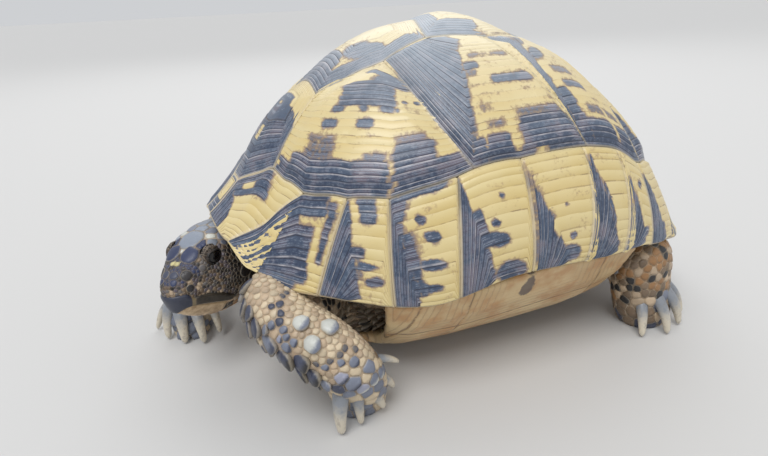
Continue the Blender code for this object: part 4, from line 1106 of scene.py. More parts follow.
def buildScales(name, body, points, widths, heights, tilts, radii, angles, frames):
    # one joined piece of solid scales; rows of each: middle, shoulder, upper edge, lower edge, underside
    count, directions = radii.shape
    profile = ((0.45, 0.97), (0.80, 0.80), (0.97, 0.38), (1.0, -0.35))
    single, row, column = sphereGrid(name, directions, len(profile) + 1)
    each = len(row)
    modify(single, "ARRAY", count=count, use_relative_offset=False)
    share = np.array([0.0] + [far for far, _ in profile] + [0.0])[row]
    rise = np.array([1.0] + [high for _, high in profile] + [-0.35])[row]
    turn = angles[column]
    reach = radii[:, column] * share * (1 + tilts[:, None] * 0.16 * np.maximum(np.cos(turn), 0))
    flat = points[:, None] + (reach * np.cos(turn))[..., None] * frames[:, None, 0]
    flat = flat + (reach * np.sin(turn))[..., None] * frames[:, None, 1]
    under, normals = body.nearest(flat.reshape(-1, 3))
    lean = tilts[:, None] * reach * np.cos(turn) / np.maximum(widths, 0.5)[:, None] * heights[:, None]
    lift = np.where(rise > 0, rise * heights[:, None] + lean * 1.2 + 0.05, rise)
    spots = under + normals * lift.reshape(-1, 1)
    spots[:, 2] = np.maximum(spots[:, 2], 0.04)
    place(single, toWorld(spots))
    putAttribute(single, "edge", np.tile(share, count))
    putAttribute(single, "tip", np.tile(np.cos(turn) * share, count))
    limb, along, round_, _, _ = body.limbs(points)
    roots = body.spread(limb, along, round_)
    local = np.stack([np.cos(turn) * share, np.sin(turn) * share], axis=1) * coat["patch"] / 2
    flat = (roots[:, None] + local[None]).reshape(-1, 2)
    single.data.uv_layers.new(name="OFBake")
    for other in [layer for layer in single.data.uv_layers if layer.name != "OFBake"]:
        single.data.uv_layers.remove(other)
    corners = np.empty(len(single.data.loops), np.int32)
    single.data.loops.foreach_get("vertex_index", corners)
    single.data.uv_layers["OFBake"].data.foreach_set("uv", flat[corners].astype(np.float32).ravel())
    return single, each


# what the scales look like, limb by limb
paint = {
    "cream": (0.60, 0.49, 0.34), "beige": (0.48, 0.365, 0.25), "white": (0.58, 0.59, 0.55),
    "slate": (0.050, 0.058, 0.095),
    "blue": (0.18, 0.20, 0.26), "black": (0.020, 0.019, 0.020), "brown": (0.11, 0.075, 0.05),
    "orange": (0.52, 0.26, 0.08),
    "violet": (0.30, 0.31, 0.39), "yellow": (0.60, 0.54, 0.27), "peach": (0.62, 0.44, 0.28),
    "grey": (0.13, 0.12, 0.12), "mud": (0.20, 0.14, 0.09), "rust": (0.32, 0.17, 0.07),
    "navy": (0.030, 0.042, 0.100),
    "steel": (0.25, 0.285, 0.35), "plum": (0.105, 0.09, 0.11), "coal": (0.035, 0.032, 0.034),
}
# forelegs: place along and round the left leg, width mm, height mm, lean, colour, colour of the tip
foreScales = (
    (0.365, 2.10, 4.9, 1.5, 0.9, "white", "blue"), (0.465, 1.48, 5.2, 1.6, 0.9, "white", "blue"),
    (0.44, 2.32, 5.0, 1.6, 0.9, "white", "blue"), (0.25, 1.98, 2.1, 0.5, 0.2, "slate", "slate"),
    (0.24, 2.22, 2.0, 0.5, 0.2, "slate", "slate"), (0.285, 2.18, 2.3, 0.5, 0.2, "slate", "slate"),
    (0.31, 2.38, 2.4, 0.5, 0.2, "slate", "slate"), (0.335, 2.54, 2.7, 0.5, 0.2, "blue", "slate"),
    (0.29, 2.66, 2.5, 0.5, 0.2, "blue", "slate"), (0.362, 2.70, 2.6, 0.5, 0.2, "blue", "slate"),
    (0.345, 2.86, 1.9, 0.5, 0.2, "violet", "slate"), (0.375, 2.98, 2.6, 0.5, 0.2, "blue", "slate"),
    (0.395, 2.72, 2.8, 0.6, 0.2, "blue", "slate"), (0.31, 3.36, 5.2, 1.0, 1.2, "blue", "slate"),
    (0.27, 3.75, 4.6, 1.0, 1.2, "cream", "slate"), (0.37, 3.62, 6.0, 1.3, 1.6, "slate", "black"),
    (0.44, 3.10, 5.2, 1.3, 1.6, "slate", "black"), (0.46, 3.75, 6.0, 1.4, 1.7, "slate", "black"),
    (0.50, 3.12, 5.4, 1.5, 1.7, "slate", "black"), (0.56, 3.55, 5.4, 1.3, 1.5, "slate", "black"),
    (0.54, 1.76, 2.0, 0.4, 0.2, "grey", "slate"), (0.535, 1.52, 1.8, 0.4, 0.2, "grey", "slate"),
    (0.575, 1.16, 2.2, 0.4, 0.2, "grey", "slate"), (0.53, 2.17, 1.9, 0.4, 0.2, "grey", "slate"),
    (0.56, 1.87, 2.5, 0.5, 0.2, "blue", "slate"), (0.59, 1.42, 3.3, 0.6, 0.3, "blue", "slate"),
    (0.485, 2.60, 1.7, 0.4, 0.2, "grey", "slate"), (0.53, 2.42, 2.1, 0.4, 0.2, "blue", "slate"),
    (0.585, 2.10, 3.8, 0.8, 0.4, "violet", "slate"), (0.645, 1.69, 4.6, 0.9, 0.4, "blue", "slate"),
    (0.64, 0.95, 4.0, 0.8, 0.4, "blue", "blue"), (0.635, 2.36, 3.6, 0.8, 0.5, "slate", "slate"),
    (0.70, 1.44, 3.2, 0.6, 0.4, "violet", "white"), (0.70, 0.98, 3.0, 0.6, 0.4, "blue", "white"),
    (0.72, 0.56, 2.6, 0.5, 0.4, "blue", "white"), (0.70, 2.0, 3.2, 0.6, 0.4, "blue", "cream"),
    (0.20, 1.45, 1.3, 0.3, 0.1, "grey", "slate"), (0.22, 1.70, 1.4, 0.3, 0.1, "grey", "slate"),
)
# the head's shields in its own frame: place, width, height, colour; those off the middle are mirrored
headShields = (
    (14.6, 0, 10.4, 9.6, 0.5, "steel"), (9.2, -3.4, 7.4, 6.6, 0.6, "navy"),
    (13.6, -4.6, 9.6, 4.0, 0.4, "navy"),
    (5.9, -0.9, 5.8, 1.7, 0.3, "yellow"), (3.0, -1.6, 3.2, 3.4, 0.4, "slate"),
    (18.0, -5.6, 10.8, 3.2, 0.35, "white"),
    (20.2, 0, 11.2, 4.6, 0.35, "steel"), (20.0, -4.4, 10.9, 3.6, 0.35, "blue"),
    (24.6, -2.2, 11.4, 4.4, 0.35, "steel"),
    (24.4, -6.8, 10.2, 4.2, 0.35, "blue"), (29, -3.0, 11, 3.8, 0.35, "steel"),
    (29, -7.6, 9.6, 3.8, 0.35, "grey"),
    (22.4, -12.0, -3.2, 5.4, 0.4, "black"), (21.4, -11.8, 2.2, 4.0, 0.35, "black"),
    (26.4, -13.0, -0.6, 5.0, 0.4, "black"),
    (25.6, -12.6, -6.6, 5.0, 0.4, "black"), (21.0, -11.0, -9.0, 4.2, 0.4, "brown"),
    (4.6, -5.0, 3.0, 4.0, 0.35, "coal"),
    (4.2, -5.8, -1.2, 3.0, 0.3, "coal"), (9.2, -7.6, 3.6, 2.4, 0.3, "grey"),
    (1.8, -2.2, 1.6, 2.6, 0.3, "navy"), (31, -12, 3, 4.0, 0.35, "grey"),
)


def skinWidth(body, points):
    # how wide the scales are at points of the skin, 0 where there are none
    limb, along, turn, score, _ = body.limbs(points)
    name = np.array(body.names)[limb]
    local = toHead(points)
    width = np.full(len(points), 2.4)
    width = np.where(name == "neck", 1.7, width)
    fore = np.char.startswith(name, "left_fore") | np.char.startswith(name, "right_fore")
    hind = np.char.find(name, "hind") >= 0
    mirror = np.where(np.char.startswith(name, "right"), -1, 1)
    outer = np.sin(turn * mirror - 0.6)
    lower = fore & ~np.char.endswith(name, "upper")
    width = np.where(lower, 2.0 + 1.5 * smooth(0.55, 0.72, along), width)
    width = np.where(lower & (np.cos(turn * mirror - 3.6) > 0.75), 4.4, width)
    width = np.where(lower & (outer < -0.2), 2.6, width)
    width = np.where(hind, 2.8 + 1.2 * smooth(0.4, 0.8, along), width)
    width = np.where(np.char.endswith(name, "upper"), 2.4, width)
    width = np.where(name == "tail", 2.2, width)
    x, y, z = local.T
    cheek = 1.15 + 0.9 * smooth(15, 24, x) + 0.9 * smooth(-9, -13, z) + 2.2 * smooth(7.6, 9.2, z)
    width = np.where(name == "head", cheek, width)
    eye = np.array(headShape["eye"])
    offEye = np.linalg.norm(np.stack([x, np.abs(y), z], axis=1) - eye, axis=1)
    width = np.where((name == "head") & (offEye < headShape["eyeRadius"] + 0.75), 0, width)
    width = np.where((name == "head") & (x < beak["back"] - 0.5) & (z < beakTop(x) - 0.2)
                     & (z > jawBottom(x) + 0.3), 0, width)
    offNose = np.linalg.norm(np.stack([x, np.abs(y), z], axis=1) - np.array(headShape["nostril"]), axis=1)
    width = np.where(offNose < 1.2, 0, width)
    trunk = (score > 1.45) & (name != "head")
    width = np.where(trunk, 3.2, width)
    hidden = trunk & ((np.abs(points[:, 0]) < 34) | (points[:, 2] < 14) | (points[:, 2] > 62))
    width = np.where(hidden, 0, width)
    width = np.where(points[:, 2] < 0.8, 0, width)
    return width


def skinPaint(body, points, chance):
    # colour of scale and of its tip at points of the skin, before the shields
    limb, along, turn, score, _ = body.limbs(points)
    name = np.array(body.names)[limb]
    x, y, z = toHead(points).T
    count = len(points)
    base = np.tile(np.array(paint["beige"]), (count, 1))

    def brush(where, colours, shares):
        pick = chance.choice(len(colours), count, p=shares)
        table = np.array([paint[colour] for colour in colours])[pick]
        base[where] = table[where]

    fore = np.char.find(name, "foreleg") >= 0
    mirror = np.where(np.char.startswith(name, "right"), -1, 1)
    outer = np.sin(turn * mirror - 0.6)
    brush(fore, ("cream", "beige"), (0.6, 0.4))
    brush(fore & (np.cos(turn * mirror - 3.6) > 0.75), ("slate", "blue", "grey"), (0.5, 0.3, 0.2))
    brush(fore & (outer < -0.3), ("beige", "mud", "grey"), (0.5, 0.3, 0.2))
    brush(fore & ~np.char.endswith(name, "upper") & (along > 0.68), ("blue", "cream", "slate"),
          (0.45, 0.4, 0.15))
    brush(np.char.endswith(name, "upper") & fore, ("beige", "mud", "grey", "black"), (0.35, 0.25, 0.2, 0.2))
    brush(np.char.find(name, "hind") >= 0, ("rust", "mud", "beige", "black"), (0.35, 0.25, 0.25, 0.15))
    brush((np.char.find(name, "hind") >= 0) & (along > 0.6), ("mud", "blue", "beige", "slate"),
          (0.3, 0.25, 0.25, 0.2))
    brush(name == "tail", ("mud", "rust", "grey"), (0.4, 0.3, 0.3))
    brush(name == "neck", ("orange", "rust", "mud", "grey"), (0.3, 0.3, 0.2, 0.2))
    head = name == "head"
    brush(head, ("coal", "plum", "grey", "brown", "mud"), (0.38, 0.22, 0.18, 0.14, 0.08))
    brush(head & (x < 14) & (z < 2), ("coal", "plum", "brown", "grey", "mud", "beige"),
          (0.24, 0.22, 0.18, 0.16, 0.12, 0.08))
    brush(head & (x < 8) & (z > 1.2), ("navy", "coal", "slate"), (0.5, 0.3, 0.2))
    brush(head & (x > 17) & (z < 7), ("black", "coal", "plum", "brown"), (0.45, 0.3, 0.15, 0.1))
    brush(head & (z > 8), ("steel", "blue", "white", "slate"), (0.5, 0.2, 0.15, 0.15))
    brush(head & (z < -11.5) & (x < 20), ("peach", "beige", "mud"), (0.5, 0.3, 0.2))
    brush(head & (z < -12.5) & (x > 12), ("orange", "rust", "brown", "black"), (0.3, 0.3, 0.2, 0.2))
    brush(head & (x > 21) & (z < -7), ("orange", "rust", "brown"), (0.45, 0.35, 0.2))
    trunk = (score > 1.45) & ~head
    brush(trunk, ("black", "brown", "mud", "beige"), (0.4, 0.3, 0.2, 0.1))
    return base * chance.uniform(0.82, 1.15, (count, 1))


def localFrames(normals, lies):
    first = lies - normals * (lies * normals).sum(axis=1)[:, None]
    weak = np.linalg.norm(first, axis=1) < 0.2
    first[weak] = np.cross(normals[weak], [0, 1, 0])
    first /= np.linalg.norm(first, axis=1, keepdims=True)
    return np.stack([first, np.cross(normals, first)], axis=1)


def putColour(piece, name, colours):
    layer = piece.data.attributes.new(name, "FLOAT_COLOR", "POINT")
    full = np.concatenate([colours, np.ones((len(colours), 1))], axis=1)
    layer.data.foreach_set("color", np.ascontiguousarray(full, np.float32).ravel())


def buildCoat(skin):
    body = Body(skin)
    chance = np.random.default_rng(coat["seed"])
    fixed, heights, leans, colours, tips = [], [], [], [], []
    for side, sign in (("left", 1), ("right", -1)):
        for along, turn, width, height, lean, colour, tip in foreScales:
            fixed.append((body.spot(side + "_foreleg", along, turn * sign), width))
            heights.append(height)
            leans.append(lean)
            colours.append(paint[colour])
            tips.append(paint[tip])
    for x, y, z, width, height, colour in headShields:
        for sign in ((1, -1) if abs(y) > 0 else (1,)):
            fixed.append((fromHead(np.array([x, y * sign, z])), width))
            heights.append(height)
            leans.append(0.0)
            colours.append(paint[colour])
            tips.append(paint[colour])
    held = len(fixed)
    spots, _ = body.nearest(np.array([spot for spot, _ in fixed]))
    fixed = [(spot, width) for spot, (_, width) in zip(spots, fixed)]
    points, widths = scatter(body, lambda p: skinWidth(body, p), fixed, chance)
    points = relax(body, points, widths, held)
    points, normals = body.nearest(points)
    limb, along, turn, _, lies = body.limbs(points)
    frames = localFrames(normals, lies)
    name = np.array(body.names)[limb]
    mirror = np.where(np.char.startswith(name, "right"), -1, 1)
    fore = np.char.find(name, "foreleg") >= 0
    front = fore & (np.cos(turn * mirror - 3.6) > 0.75)
    height = np.where(name == "head", 0.22, 0.24) * np.sqrt(widths / 2)
    height = np.where(front, 0.9, height)
    lean = np.where(name == "head", 0.0, np.where(front, 1.5, 0.5))
    height[:held], lean[:held] = heights, leans
    own = skinPaint(body, points, chance)
    tip = own * 0.8
    own[:held], tip[:held] = np.array(colours) * chance.uniform(0.9, 1.1, (held, 1)), tips
    made = []
    big = widths > 3.4
    for label, chosen, directions in (
        ("coat_shields", np.flatnonzero(big), coat["shieldDirections"]),
        ("coat_head", np.flatnonzero(~big & ((name == "head") | (name == "neck"))), coat["directions"]),
        ("coat_forelegs", np.flatnonzero(~big & fore), coat["directions"]),
        ("coat_hind", np.flatnonzero(~big & ~fore & (name != "head") & (name != "neck")),
         coat["directions"]),
    ):
        radii, angles = cellRadii(points, widths, frames, chosen, directions)
        piece, each = buildScales(label, body, points[chosen], widths[chosen], height[chosen], lean[chosen],
                                  radii, angles, frames[chosen])
        putColour(piece, "paint", np.repeat(own[chosen], each, axis=0))
        putColour(piece, "tipPaint", np.repeat(tip[chosen], each, axis=0))
        print(label, len(chosen), "scales")
        made.append(piece)
    x, y, z = toHead(points).T
    pale = np.where(fore, 0.75, 0.35)
    pale = np.where(name == "head", 0.12 + 0.45 * smooth(7, 8.6, z) + 0.1 * smooth(15, 18, x),
                    pale)[:, None]
    seams = own * (1 - pale) + np.array(paint["beige"]) * pale
    seams = seams[neighbours(body.points, points, 1)[:, 0]]
    # painted shade: the nostril opening is painted as a dark spot on the skin, not cut as a hole
    x, y, z = toHead(body.points).T
    offNose = np.linalg.norm(np.stack([x, np.abs(y), z], axis=1) - np.array(headShape["nostril"]), axis=1)
    seams = seams * smooth(0.4, 1.1, offNose)[:, None]
    putColour(skin, "paint", seams)
    return made


def coatLook():
    look = Look("scales")
    own = look.node("ShaderNodeAttribute", {"attribute_name": "paint"}, {}, "Color")
    tip = look.node("ShaderNodeAttribute", {"attribute_name": "tipPaint"}, {}, "Color")
    edge, toTip = look.attribute("edge"), look.attribute("tip")
    fine, grain = look.noise(1300, 4), look.noise(4200, 2)
    colour = look.mix((toTip + (fine - 0.5) * 0.5).step(0.1, 0.7), own, tip)
    colour = look.mix((fine - 0.35) * 0.6, colour, look.mix(0.6, colour, (0.5, 0.42, 0.3), "MULTIPLY"))
    colour = look.mix((edge + (fine - 0.5) * 0.2).step(0.82, 1.0) * 0.5, colour, (0.50, 0.43, 0.32))
    normal = look.bump(grain * 0.4 + fine * 0.6, 0.0001, 0.6)
    return look.finish(colour, 0.42 + (fine - 0.5) * 0.2, normal, Coat_Weight=0.08, Coat_Roughness=0.3)


def skinLook():
    look = Look("skin")
    own = look.node("ShaderNodeAttribute", {"attribute_name": "paint"}, {}, "Color")
    fine, broad = look.noise(1500, 4), look.noise(260, 3)
    colour = look.mix(broad.step(0.35, 0.7) * 0.35, own, look.mix(1.0, own, (0.62, 0.50, 0.42), "MULTIPLY"))
    normal = look.bump(fine * 0.6 + broad * 0.4, 0.0003, 0.7)
    return look.finish(colour, 0.62, normal)


eyes = {"lidOver": 0.3, "opening": (0.80, 0.56), "lidReach": 1.42, "toward": (0.16, -0.97, 0.06)}
beak = {"back": 17.6, "proud": 0.42, "sunk": 0.3, "thickness": 0.7, "hook": 1.1}


def sheetGrid(name, points, thickness):
    # a sheet through a grid of points (rows, columns, 3) in metres, thickened inward
    rows, columns = points.shape[:2]
    bpy.ops.object.select_all(action="DESELECT")
    bpy.ops.mesh.primitive_grid_add(x_subdivisions=columns - 1, y_subdivisions=rows - 1, size=2,
                                    location=(0, 0, 0))
    piece = bpy.context.object
    piece.name = piece.data.name = name
    spots = spotsOf(piece)
    column = np.rint((spots[:, 0] + 1) / 2 * (columns - 1)).astype(int)
    row = np.rint((spots[:, 1] + 1) / 2 * (rows - 1)).astype(int)
    piece.data.vertices.foreach_set("co", np.ascontiguousarray(points[row, column], np.float32).ravel())
    piece.data.update()
    modify(piece, "SOLIDIFY", thickness=thickness, offset=0)
    alone(piece)
    bpy.ops.object.mode_set(mode="EDIT")
    bpy.ops.mesh.select_all(action="SELECT")
    bpy.ops.mesh.normals_make_consistent(inside=False)
    bpy.ops.object.mode_set(mode="OBJECT")
    bpy.ops.object.shade_smooth()
    return piece


def eyeFrame(side):
    # centre of an eye and its ways: out, forward, up, in the head's frame
    x, y, z = headShape["eye"]
    out = np.array([eyes["toward"][0] * -1, side, eyes["toward"][2]])
    out = out / np.linalg.norm(out)
    up = np.array([0, 0, 1.0]) - out * out[2]
    up /= np.linalg.norm(up)
    return np.array([x, y * side, z]), out, np.cross(up, out), up


def buildEye(name, side):
    piece, row, column = sphereGrid(name, 48, 32)
    centre, out, ahead, up = eyeFrame(side)
    unit = spotsOf(piece)
    radius = headShape["eyeRadius"]
    bulge = 1 + 0.05 * smooth(0.80, 1.0, unit[:, 2])  # cornea
    points = centre + (out * unit[:, 2:3] + ahead * unit[:, 0:1]
                       + up * unit[:, 1:2]) * (radius * bulge)[:, None]
    place(piece, toWorld(fromHead(points)))
    putAttribute(piece, "axis", np.arccos(np.clip(unit[:, 2], -1, 1)))
    return piece


def buildLids(name, side):
    # one ring of skin round each eye with an almond opening, folded in fine rings
    rows, columns = 22, 60
    centre, out, ahead, up = eyeFrame(side)
    turn = 2 * math.pi * np.arange(columns) / columns
    wide, tall = eyes["opening"]
    opening = 1 / np.sqrt((np.cos(turn) / wide) ** 2 + (np.sin(turn) / tall) ** 2)
    opening = opening * (1 - 0.10 * np.cos(2 * turn) ** 2)
    share = np.linspace(0, 1, rows)[:, None]
    polar = opening + (eyes["lidReach"] - opening) * share
    fold = 0.16 * np.sin(share * 15
                         + 0.8 * np.sin(turn * 2)) * smooth(0.08, 0.3, share) * (1 - smooth(0.8, 1, share))
    rim = 0.22 * np.exp(-((share - 0.07) / 0.06) ** 2)
    far = headShape["eyeRadius"] + eyes["lidOver"] + fold + rim + 0.25 * smooth(0.2, 1, share)
    around = out * np.cos(polar)[..., None] + (ahead * np.cos(turn)[:, None]
                                               + up * np.sin(turn)[:, None]) * np.sin(polar)[..., None]
    outer = centre + around * far[..., None]
    inner = centre + around * (headShape["eyeRadius"] + 0.08)
    loop = np.concatenate([outer, inner[::-1]])
    bpy.ops.object.select_all(action="DESELECT")
    bpy.ops.mesh.primitive_torus_add(major_segments=columns, minor_segments=rows * 2, major_radius=2,
                                     minor_radius=1)
    piece = bpy.context.object
    piece.name = piece.data.name = name
    unit = spotsOf(piece)
    column = np.rint(np.arctan2(unit[:, 1], unit[:, 0]) / (2 * math.pi) * columns).astype(int) % columns
    across = np.arctan2(unit[:, 2], np.hypot(unit[:, 0], unit[:, 1]) - 2)
    row = np.rint(across / (2 * math.pi) * rows * 2).astype(int) % (rows * 2)
    place(piece, toWorld(fromHead(loop[row, column])))
    putAttribute(piece, "share", np.concatenate([share[:, 0], share[::-1, 0]])[row])
    return piece


def eyeLook():
    look = Look("eyeball")
    axis = look.attribute("axis")
    fine = look.noise(2500, 3)
    colour = look.mix((axis + (fine - 0.5) * 0.08).step(0.36, 0.42), (0.002, 0.002, 0.003),
                      (0.010, 0.007, 0.005))
    colour = look.mix(axis.step(0.52, 0.64), colour, (0.003, 0.003, 0.003))
    return look.finish(colour, 0.08, None, Coat_Weight=0.15, Coat_Roughness=0.03, Specular_IOR_Level=0.4)


def lidLook():
    look = Look("lidSkin")
    share = look.attribute("share")
    fine, blots = look.noise(1900, 3), look.noise(800, 3)
    cells = look.cells(1000, "DISTANCE_TO_EDGE")
    colour = look.mix(blots.step(0.4, 0.62), (0.020, 0.016, 0.014), (0.095, 0.066, 0.046))
    colour = look.mix((1 - cells.step(0.02, 0.12)) * share.step(0.2, 0.6) * 0.7, colour, (0.36, 0.29, 0.22))
    colour = look.mix(fine * 0.4, colour, (0.03, 0.025, 0.022))
    colour = look.mix((1 - share.step(0.04, 0.2)) * 0.9, colour, (0.006, 0.005, 0.005))
    normal = look.bump(cells.step(0.0, 0.25) + fine * 0.3, 0.0002, 0.8)
    return look.finish(colour, 0.5, normal)


def beakLook():
    # dark blue in front, a thin tan line, then olive brown over the mouth
    look = Look("beakHorn")
    back, level = look.attribute("back"), look.attribute("level")
    streaks = look.noise(420, 4, stretch=(1, 1, 0.25))
    fine, blots = look.noise(2200, 3), look.noise(520, 3)
    front = look.mix(streaks, (0.012, 0.016, 0.034), (0.050, 0.056, 0.085))
    side = look.mix(streaks, (0.022, 0.018, 0.013), (0.070, 0.056, 0.040))
    side = look.mix(blots.step(0.48, 0.62) * 0.7, side, (0.013, 0.011, 0.010))
    place = back + (streaks - 0.5) * 0.7
    colour = look.mix(place.step(4.3, 5.4), front, side)
    line = place.step(3.5, 4.0) * (1 - place.step(4.6, 5.3))
    colour = look.mix(line * 0.75, colour, (0.30, 0.225, 0.115))
    border = (level + (fine - 0.5) * 0.1).step(0.02, 0.14)
    colour = look.mix((1 - border) * place.step(5.0, 7.0) * 0.8, colour, (0.34, 0.26, 0.16))
    colour = look.mix(fine.step(0.62, 0.8) * 0.3, colour, (0.16, 0.13, 0.10))
    normal = look.bump(streaks * 0.7 + fine * 0.3, 0.00014, 0.7)
    return look.finish(colour, 0.42, normal, Coat_Weight=0.12, Coat_Roughness=0.3)


def jawLook():
    look = Look("jawHorn")
    streaks, fine = look.noise(500, 4), look.noise(2200, 3)
    colour = look.mix(streaks.step(0.3, 0.75), (0.62, 0.46, 0.28), (0.34, 0.22, 0.12))
    normal = look.bump(streaks * 0.7 + fine * 0.3, 0.00012, 0.5)
    return look.finish(colour, 0.42, normal)


def clawLook():
    look = Look("clawHorn")
    along = look.attribute("along")
    streaks, fine = look.noise(600, 4), look.noise(2600, 2)
    colour = look.mix((along + (streaks - 0.5) * 0.5).step(0.3, 0.75), (0.22, 0.235, 0.26),
                      (0.60, 0.54, 0.43))
    colour = look.mix(streaks.step(0.5, 0.75) * 0.45, colour, (0.12, 0.11, 0.11))
    normal = look.bump(streaks * 0.6 + fine * 0.4, 0.00012, 0.5)
    return look.finish(colour, 0.36, normal, Coat_Weight=0.15, Coat_Roughness=0.25)


def beakTop(x):
    # upper border of the horn on the upper jaw, from the nose back to the corner of the mouth
    return np.interp(x, (-1, 1.0, 2.6, 3.6, 4.6, 6, 9, 12, 15, 18),
                     (-2.4, -2.5, -2.7, -3.8, -5.0, -4.9, -5.4, -6.6, -8.4, -10.4))


def beakEdge(x):
    return np.interp(x, (-1, 1.0, 2.4, 4.5, 8, 12, 15, 18),
                     (-8.7, -8.3, -7.5, -7.3, -8.5, -9.9, -11.0, -11.8))


def sideOfHead(x, z):
    # half width of the head at a distance back and a height
    half, (top, bottom) = headHalf(x), headLevels(x)
    middle = (top * 0.4 + bottom * 0.6) * 0.5 + 1.2 * smooth(0, 6, x)
    rise = np.where(z > middle, (z - middle) / np.maximum(top - middle, 0.1),
                    (middle - z) / np.maximum(middle - bottom, 0.1))
    sine = np.clip(rise, 0, 0.98) ** (1 / 0.8)
    across = np.sqrt(1 - sine ** 2) ** 0.85 * half
    return across * np.where(z < middle, 1 - 0.16 * np.clip(rise, 0, 1), 1)


def jawSheet(name, body, upper, lower, proud, front, back, thickness):
    # a plate of horn laid on the skin between two borders, from one corner of the mouth round the front
    rows, columns = 16, 100
    run = np.linspace(-1, 1, columns)
    x = front + (back - front) * np.abs(run) ** 1.6
    share = np.linspace(0, 1, rows)[:, None]
    z = upper(x) + (lower(x) - upper(x)) * share
    at = np.broadcast_to(np.maximum(x, 0.6), z.shape)
    y = sideOfHead(at, z) * np.sign(run) * np.minimum(np.abs(run) / 0.2, 1) ** 0.8
    guess = fromHead(np.stack([np.broadcast_to(x, z.shape), y, z], axis=-1).reshape(-1, 3))
    spots, normals = body.nearest(guess)
    rim = np.minimum(np.minimum(share, 1 - share) / 0.14, 1)
    ends = np.minimum((1 - np.abs(run)) / 0.06, 1)
    out = -beak["sunk"] + (proud + beak["sunk"]) * np.sqrt(rim * ends)
    points = (spots + normals * out.reshape(-1, 1)).reshape(rows, columns, 3)
    return sheetGrid(name, toWorld(points), thickness * mm)


def buildBeak(body):
    piece = jawSheet("beak_upper", body, beakTop, beakEdge, beak["proud"], -0.4, beak["back"],
                     beak["thickness"])
    spots = spotsOf(piece)
    x, y, z = toHead(fromWorld(spots)).T
    pull = beak["hook"] * smooth(3.4, 0.4, x) * smooth(-5.0, -8.5, z) * np.exp(-(y / 2.6) ** 2)
    place(piece, toWorld(fromHead(np.stack([x, y, z - pull], axis=1))))
    shape = spotsOf(piece)
    x, y, z = toHead(fromWorld(shape)).T
    putAttribute(piece, "back", x)
    putAttribute(piece, "level", (z - beakEdge(x)) / (beakTop(x) - beakEdge(x)))
    lower = jawSheet("beak_lower", body, lambda x: beakEdge(x) - 0.1, jawBottom, beak["proud"] - 0.15, 1.2,
                        beak["back"] - 2.5, beak["thickness"])
    return piece, lower


def jawBottom(x):
    return np.interp(x, (0, 3, 6, 10, 15), (-9.4, -10.6, -12.6, -14.2, -15.0))


clawShape = {"taper": 0.62}


def buildClaws(name, claws):
    # curved cones of horn, slightly flattened, joined in one piece
    made = []
    for root, tip, bow, radius in claws:
        root, tip, bow = np.array(root, float), np.array(tip, float), np.array(bow, float)
        root = root - (tip - root) / np.linalg.norm(tip - root) * 4
        rows = 22
        piece, row, column = sphereGrid("claw", 18, rows)
        share = np.linspace(0, 1, rows + 1)
        centres = root + (tip - root) * share[:, None] + bow * np.sin(share * math.pi)[:, None]
        along = np.gradient(centres, axis=0)
        along /= np.linalg.norm(along, axis=1, keepdims=True)
        wide = np.cross(along, bow)
        wide /= np.linalg.norm(wide, axis=1, keepdims=True)
        deep = np.cross(along, wide)
        ends = np.sqrt(np.clip(share / 0.06, 0, 1)), np.sqrt(np.clip((1.0001 - share) / 0.09, 0, 1))
        size = radius * 1.12 * ends[0] * (1 - share ** 1.6 * clawShape["taper"]) * ends[1]
        turn = 2 * math.pi * np.arange(18) / 18
        across = wide[row] * np.cos(turn[column])[:, None] + deep[row] * np.sin(turn[column])[:, None] * 0.85
        points = centres[row] + across * size[row][:, None]
        points[:, 2] = np.maximum(points[:, 2], 0.05)
        place(piece, toWorld(points))
        putAttribute(piece, "along", share[row])
        made.append(piece)
    alone(*made)
    bpy.ops.object.join()
    made[0].name = made[0].data.name = name
    return made[0]


clawPlaces = {
    "left_foreleg": (
        ((-69, -59, 13), (-70.8, -61.3, 0.4), (-1, -1.2, 0.3), 2.5),
        ((-64.5, -59.5, 11), (-64, -60, 0.8), (-0.3, -1.2, 0.3), 1.8),
        ((-60, -57.5, 10), (-55.4, -58, 2.6), (0.5, -1.2, 0.5), 2.0),
        ((-57, -55.5, 13), (-50.6, -55, 7), (1, -1, 1), 2.0),
        ((-56, -55, 18.5), (-48, -54, 15), (0.8, -0.6, 1), 1.5)),
    "right_foreleg": (
        ((-113, 28, 11), (-121, 30, 0.4), (-1, 0.5, 2), 2.2),
        ((-114, 23.5, 11), (-117, 20, 0.4), (-1, -0.5, 1.5), 2.5),
        ((-111, 19, 11), (-111, 13.5, 0.4), (0, -1.5, 1.5), 2.6),
        ((-105, 17.5, 11), (-104, 10, 0.6), (0, -1.5, 1.5), 2.4),
        ((-99.5, 20, 12), (-97.5, 12.5, 2), (0.5, -1.5, 1), 2.0)),
    "left_hindleg": (
        ((51, -56, 10), (48, -61, 0.5), (-0.5, -1, 1), 2.1),
        ((57, -58, 11), (58, -63.5, 0.4), (0, -1.5, 1), 2.3),
        ((63.5, -56, 11.5), (67, -60.5, 0.4), (0.5, -1.5, 1), 2.3),
        ((68, -52, 12), (74, -55, 0.8), (1, -1, 1), 2.1),
        ((62, -46, 24), (72.5, -43, 18.5), (0, 0, 0.8), 2.6)),
    "right_hindleg": (
        ((33, 54, 10), (27.5, 58, 0.5), (-1, 0.5, 1), 2.1),
        ((38, 57, 11), (34, 63, 0.4), (-0.5, 1, 1), 2.3),
        ((44, 58, 11), (43, 64, 0.4), (0, 1.5, 1), 2.3),
        ((50, 56, 11), (52.5, 61.5, 0.8), (0.5, 1, 1), 2.1),
        ((51, 46, 24), (61.5, 43, 18.5), (0, 0, 0.8), 2.6)),
}


